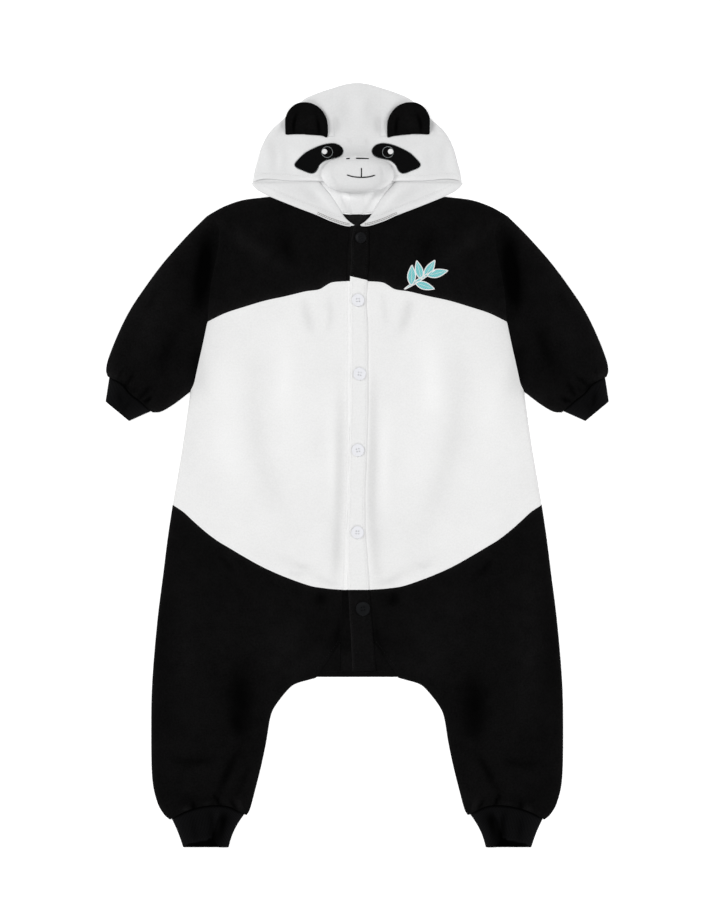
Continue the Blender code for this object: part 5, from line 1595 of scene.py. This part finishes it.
def ringPiece(name, centre, radius, width, surface, look, thick=0.7):
    t = np.linspace(0, 2 * pi, 49)
    line = [(centre[0] + radius * cos(a), centre[1] + radius * sin(a)) for a in t]
    b = bmesh.new()
    spots = [np.array((x, y, surface.height(x, y) + 0.3)) for x, y in line[:-1]]
    verts = []
    for p in spots:
        out = np.array((p[0] - centre[0], p[1] - centre[1], 0)) / radius
        verts.append([b.verts.new((p + out * width / 2 * cos(a) + np.array((0, 0, thick * sin(a)))) * mm)
                      for a in np.arange(6) * pi / 3])
    for i in range(len(verts)):
        k = (i + 1) % len(verts)
        for j in range(6):
            m = (j + 1) % 6
            b.faces.new((verts[i][j], verts[i][m], verts[k][m], verts[k][j])).smooth = True
    return madePiece(name, b, look)


def makeEyes():
    hoodTop = overCloths("hood_face_band", "hood_crown", "hood_side_left", "hood_side_right")
    for side in (right, left):
        word = sideWord[side]
        loop = denseRun((*eyeSpec["outline"][-1:], *eyeSpec["outline"], *eyeSpec["outline"][:2]))[10:-10]
        aside = eyeSpec["aside"][side]
        loop = sampled(loop, np.linspace(0, 1, 97))[:-1] * (side, 1) + (aside, 0)
        patch = domedPatch("eye_felt_" + word, loop, hoodTop, eyeSpec["thick"], "blackFelt",
                           nodes=["eye_patch_" + word])
        over = Surface(patch)
        x, y, r = eyeSpec["ring"]
        ringPiece("eye_ring_" + word, (side * x + aside, y), r, eyeSpec["ringWidth"], over, "greyThread",
                  0.5)
        x, y, r = eyeSpec["glint"]
        disc = [(side * x + aside + r * cos(a), y + r * sin(a)) for a in np.linspace(0, 2 * pi, 33)[:-1]]
        domedPatch("eye_glint_" + word, disc, over, 0.6, "hoodFleece", edge=1.2, layers=4)
        # whip stitches over the patch's edge
        b = bmesh.new()
        path = np.vstack([loop, loop[:1]])
        total = runLength(path)[-1]
        both = Surface(patch, bpy.data.objects["hood_face_band_cloth"])
        for k in range(int(total / eyeSpec["stitchEvery"])):
            share = k * eyeSpec["stitchEvery"] / total
            spot, ahead = sampled(path, [share, min(share + 0.004, 1)])
            way = (ahead - spot) / max(hypot(*(ahead - spot)), 1e-6)
            normal = np.array([-way[1], way[0]]) * side
            ends = [spot + normal * d + way * 0.4 * d for d in (-1.1, 0.0, 1.3)]
            heights = [both.height(*p) for p in ends]
            if None in heights:
                continue
            heights[1] = max(heights) + 0.1
            loft(b, tubeRings([(p[0], p[1], h + 0.3) for p, h in zip(ends, heights)], 0.34, sides=4))
        madePiece("eye_stitches_" + word, b, "greyThread")
    print("eye patches sewn on")


buttonSpec = {
    "places": (("button_1_black", 6.6, 453.6, 22, 18), ("button_2_white", 1.8, 329.0, 25, 4),
               ("button_3_white", 5.0, 182.0, 25, -7), ("button_4_white", 1.6, 29.6, 25, 12),
               ("button_5_white", 0.6, -134.4, 25, -3), ("button_6_black", 11.6, -286.6, 28, 9)),
    "radius": 12.5, "thick": 2.7, "seat": 9.2, "rim": 0.17, "dish": 0.6, "hole": 0.095, "holeAt": 0.28,
    "thread": 0.32,
    "lean": 9,          # the top one lies askew
}


def deselectAll():
    if bpy.context.object and bpy.context.object.mode != "OBJECT":
        bpy.ops.object.mode_set(mode="OBJECT")
    bpy.ops.object.select_all(action="DESELECT")


def turnedButton():
    # a button of the middle size at the origin, its back on z = 0
    r, t = buttonSpec["radius"], buttonSpec["thick"]
    deselectAll()
    bpy.ops.mesh.primitive_cylinder_add(vertices=64, radius=r * mm, depth=t * mm,
                                        location=(0, 0, t / 2 * mm))
    button = bpy.context.object
    button.name = "buttonBlank"
    bpy.ops.object.transform_apply(location=True, rotation=True, scale=True)
    bpy.ops.object.mode_set(mode="EDIT")
    bpy.ops.mesh.select_mode(type="FACE")
    bpy.ops.mesh.select_all(action="DESELECT")
    bpy.ops.object.mode_set(mode="OBJECT")
    for poly in button.data.polygons:
        poly.select = poly.normal.z > 0.9
    bpy.ops.object.mode_set(mode="EDIT")
    bpy.ops.mesh.inset(thickness=r * buttonSpec["rim"] * mm, depth=0)
    bpy.ops.mesh.inset(thickness=0.12 * r * mm, depth=-buttonSpec["dish"] * mm)
    bpy.ops.mesh.inset(thickness=0.3 * r * mm, depth=-0.12 * mm)
    bpy.ops.object.mode_set(mode="OBJECT")
    rounding = button.modifiers.new("rounding", "BEVEL")
    rounding.width, rounding.segments = 0.7 * mm, 3
    rounding.limit_method, rounding.angle_limit = "ANGLE", radians(25)
    bpy.ops.object.modifier_apply(modifier="rounding")
    for k in range(4):
        a = pi / 4 + k * pi / 2
        out = r * buttonSpec["holeAt"] * mm
        deselectAll()
        bpy.ops.mesh.primitive_cylinder_add(vertices=20, radius=r * buttonSpec["hole"] * mm, depth=3 * t * mm,
                                            location=(out * cos(a), out * sin(a), t / 2 * mm))
        drill = bpy.context.object
        bpy.ops.object.transform_apply(location=True, rotation=True, scale=True)
        deselectAll()
        bpy.context.view_layer.objects.active = button
        button.select_set(True)
        hole = button.modifiers.new("hole", "BOOLEAN")
        hole.object = drill
        bpy.ops.object.modifier_apply(modifier="hole")
        bpy.data.objects.remove(drill)
    bpy.ops.object.shade_smooth_by_angle(angle=radians(32))
    return button


def makeButtons():
    blank = turnedButton()
    for name, x, y, diameter, tilt in buttonSpec["places"]:
        colour = name.rsplit("_", 1)[1]
        size = diameter / 2 / buttonSpec["radius"]
        mesh = blank.data.copy()
        piece = linked(name + "_turned", mesh)
        lean = radians(buttonSpec["lean"]) if name.startswith("button_1") else 0.0
        place = Matrix.Translation(Vector((x, y, buttonSpec["seat"])) * mm) \
            @ Matrix.Rotation(radians(tilt), 4, "Z") \
            @ Matrix.Rotation(lean, 4, "Y") @ Matrix.Diagonal((size, size, 1, 1))
        mesh.transform(place)
        finished(piece, colour + "Resin", [name])
        # the thread that holds it: two bars, each of two strands, that run down into the holes
        b = bmesh.new()
        h, t = buttonSpec["radius"] * buttonSpec["holeAt"] * cos(pi / 4), buttonSpec["thick"]
        for across in (-h, h):
            for shift in (-0.45, 0.45):
                spots = [(across + shift, -h, t - 2.3), (across + shift, -h + 0.3, t - 1.7),
                         (across + shift, 0, t - 1.5), (across + shift, h - 0.3, t - 1.7),
                         (across + shift, h, t - 2.3)]
                spots = [place @ (Vector(p) * mm) for p in spots]
                loft(b, tubeRings([np.array(p) / mm for p in spots], buttonSpec["thread"]))
        madePiece(name + "_thread", b, colour + "Thread")
    bpy.data.objects.remove(blank)
    print("buttons turned and sewn on")


def makeButtonholes():
    # the worked end of each buttonhole shows just under its button
    over = overCloths("band_yoke", "band_body", "band_leg")
    for colour in ("white", "black"):
        b = bmesh.new()
        for name, x, y, diameter, _ in buttonSpec["places"]:
            if not name.endswith(colour):
                continue
            for k in range(7):
                low = y - diameter / 2 - 1.5 + 0.55 * k
                spots = [(x + d, low, (over.height(x + d, low) or placket["top"]) + 0.32 - abs(d) * 0.1)
                         for d in (-1.5, 0, 1.5)]
                loft(b, tubeRings(spots, 0.33, sides=4))
        madePiece("buttonholes_" + colour, b, colour + "Thread")


sprigSpec = {
    "at": (132, 378),
    "leaves": ((-38, -27, 32, 74, 4.5), (-24, -19, 88, 40, 15), (-4, -7, 104, 38, 14), (2, -3, 58, 40, 14),
               (8, 0, 14, 42, 15), (-16, -14, -18, 40, 14)),
    "thick": 1.1, "edge": 1.15,
}


def makeSprig():
    # bamboo leaves in satin stitch with a white corded edge, each on the one below it
    chest = bpy.data.objects["front_yoke_left_cloth"]
    under = []
    edges = bmesh.new()
    for k, (x, y, turn, length, width) in enumerate(sprigSpec["leaves"]):
        c, s = cos(radians(turn)), sin(radians(turn))
        loop = []
        for sign in (1, -1):
            for t in np.linspace(0, 1, 26)[::sign][:-1]:
                along, across = length * t, sign * (width / 2 * sin(pi * t ** 0.85) + 0.3)
                loop.append((sprigSpec["at"][0] + x + along * c - across * s,
                             sprigSpec["at"][1] + y + along * s + across * c))
        base = Surface(chest, *under[-1:])
        leaf = domedPatch("sprig_leaf_%d" % (k + 1), loop, base, sprigSpec["thick"], "tealThread",
                          edge=1.2, nodes=() if under else ["chest_sprig"], layers=4)
        top = Surface(leaf)
        closedLoop = np.array(loop + loop[:1])
        spots = [(px, py, (base.height(px, py) or 7.0) + sprigSpec["thick"] * 0.75)
                 for px, py in closedLoop]
        loft(edges, tubeRings(spots, sprigSpec["edge"], sides=6, taper=False))
        if width > 6:
            # the leaf's middle vein
            vein = [(sprigSpec["at"][0] + x + length * t * c, sprigSpec["at"][1] + y + length * t * s)
                    for t in np.linspace(0.12, 0.86, 8)]
            heights = [top.height(*p) for p in vein]
            if None not in heights:
                loft(edges, tubeRings([(p[0], p[1], h + 0.1) for p, h in zip(vein, heights)], 0.4, sides=5))
        under.append(leaf)
    madePiece("sprig_cord", edges, "whiteThread")
    print("chest sprig embroidered")


def makeStitching():
    ends = {"yoke": (470, 378), "body": (368, -244), "leg": (-254, -405)}
    for part, (high, low) in ends.items():
        along = np.linspace(high, low, 40)
        paths = [np.stack([bandAt(along, 2) + placket["stitched"], along], 1),
                 np.stack([bandAt(along, 3) - placket["stitched"], along], 1)]
        if part == "leg":
            paths.append(np.array([(-13, -374.4), (30, -374.4)], float))
            paths.append(np.array([(-9, -404.0), (33, -404.0)], float))
        colour, radius, sink = ("white", 0.34, 0.2) if part == "body" else ("black", 0.42, 0.1)
        stitchPiece("band_stitching_" + part, paths, overCloths("band_" + part), colour + "Thread",
                    "fleece_" + colour, "band_" + part, radius=radius, sink=sink)

    rim = denseRun(hoodCut["rim"])
    hem = [np.stack([side * rim[:, 0], rim[:, 1] + hoodCut["hem"]], 1) for side in (right, left)]
    stitchPiece("hood_hem_stitching", hem, overCloths("hood_face_band"), "whiteThread", "fleece_white",
                "hood_face_band")
    for side in (right, left):
        word = sideWord[side]
        lapel = overCloths("hood_back_" + word)
        rim = offsetLine(denseRun(hoodCut["lapelRim"])[:-8], -14.5) * (side, 1)
        stitchPiece("lapel_stitching_" + word, [rim], lapel, "whiteThread", "fleece_white",
                    "hood_back_" + word)
        rim = denseRun(hoodCut["lapelRim"])
        rim = rim[(rim[:, 0] < 84) & (rim[:, 0] > 14)]
        hem = [offsetLine(rim, -away) * (side, 1) for away in (2.8, 5.6)]
        stitchPiece("lapel_hem_" + word, hem, lapel, "hemThread", "fleece_white", "hood_back_" + word,
                    stitch=3.0, space=0.5, radius=0.5)
    gusset = overCloths("crotch_gusset", "front_leg_left", "front_leg_right")
    paths = []
    for side in (right, left):
        top = (side * (float(centreEdge(side, gussetTop)) + 5), gussetTop)
        end = (side * (cut["crotchEnd"][0] + 5), cut["crotchEnd"][1] + 8)
        paths.append(np.array([top, end], float))
    paths += [np.array([(-62, -412.5), (62, -412.5)], float), np.array([(16.7, -414), (16.7, -425)], float)]
    stitchPiece("gusset_stitching", paths, gusset, "blackThread", "fleece_black", "crotch_gusset",
                smooth=False)
    print("topstitching done")


# camera straight over the garment, in metres; lamps: name, place, size, watts
studio = {
    "camera": (0.0056, 0.03, 4.0), "lens": 80,
    "ambient": 0.34, "floorGlow": 0.4,
    "lamps": (("key", (-3.2, 1.8, 3.0), 2.2, 110), ("fill", (3.4, 1.0, 3.0), 2.2, 72),
              ("low", (0.4, -3.6, 2.8), 2.4, 76)),
}


def makeStage():
    deselectAll()
    bpy.ops.mesh.primitive_plane_add(size=9, location=(0, 0, -0.0004))
    floor = bpy.context.object
    floor.name = "studio_floor"
    look = bpy.data.materials.new("studio_white")
    look.use_nodes = True
    shader = look.node_tree.nodes["Principled BSDF"]
    shader.inputs["Base Color"].default_value = (0.93, 0.93, 0.93, 1)
    shader.inputs["Roughness"].default_value = 0.9
    shader.inputs["Specular IOR Level"].default_value = 0.0
    shader.inputs["Emission Color"].default_value = (1, 1, 1, 1)
    shader.inputs["Emission Strength"].default_value = studio["floorGlow"]
    floor.data.materials.append(look)

    scene = bpy.context.scene
    scene.view_settings.view_transform = "Standard"
    world = bpy.data.worlds.new("studio")
    world.use_nodes = True
    world.node_tree.nodes["Background"].inputs["Color"].default_value = (1, 1, 1, 1)
    world.node_tree.nodes["Background"].inputs["Strength"].default_value = studio["ambient"]
    scene.world = world
    for name, spot, size, power in studio["lamps"]:
        lamp = bpy.data.lights.new(name, "AREA")
        lamp.shape, lamp.size, lamp.energy = "DISK", size, power
        holder = bpy.data.objects.new(name, lamp)
        holder.location = spot
        holder.rotation_euler = (-Vector(spot)).to_track_quat("-Z", "Y").to_euler()
        scene.collection.objects.link(holder)

    camera = bpy.data.objects.new("camera", bpy.data.cameras.new("camera"))
    camera.data.lens, camera.data.sensor_width = studio["lens"], 36
    camera.location = studio["camera"]
    scene.collection.objects.link(camera)
    scene.camera = camera
    print("stage, lamps and camera set")


makeFronts()
makeBacks()
makeSleeves()
makeCuffs()
makeGusset()
makePlacket()
makeHood()
makeHoodLow()
makeMuzzle()
makeEars()
makeEyes()
makeButtons()
makeButtonholes()
makeSprig()
makeStitching()
makeStage()
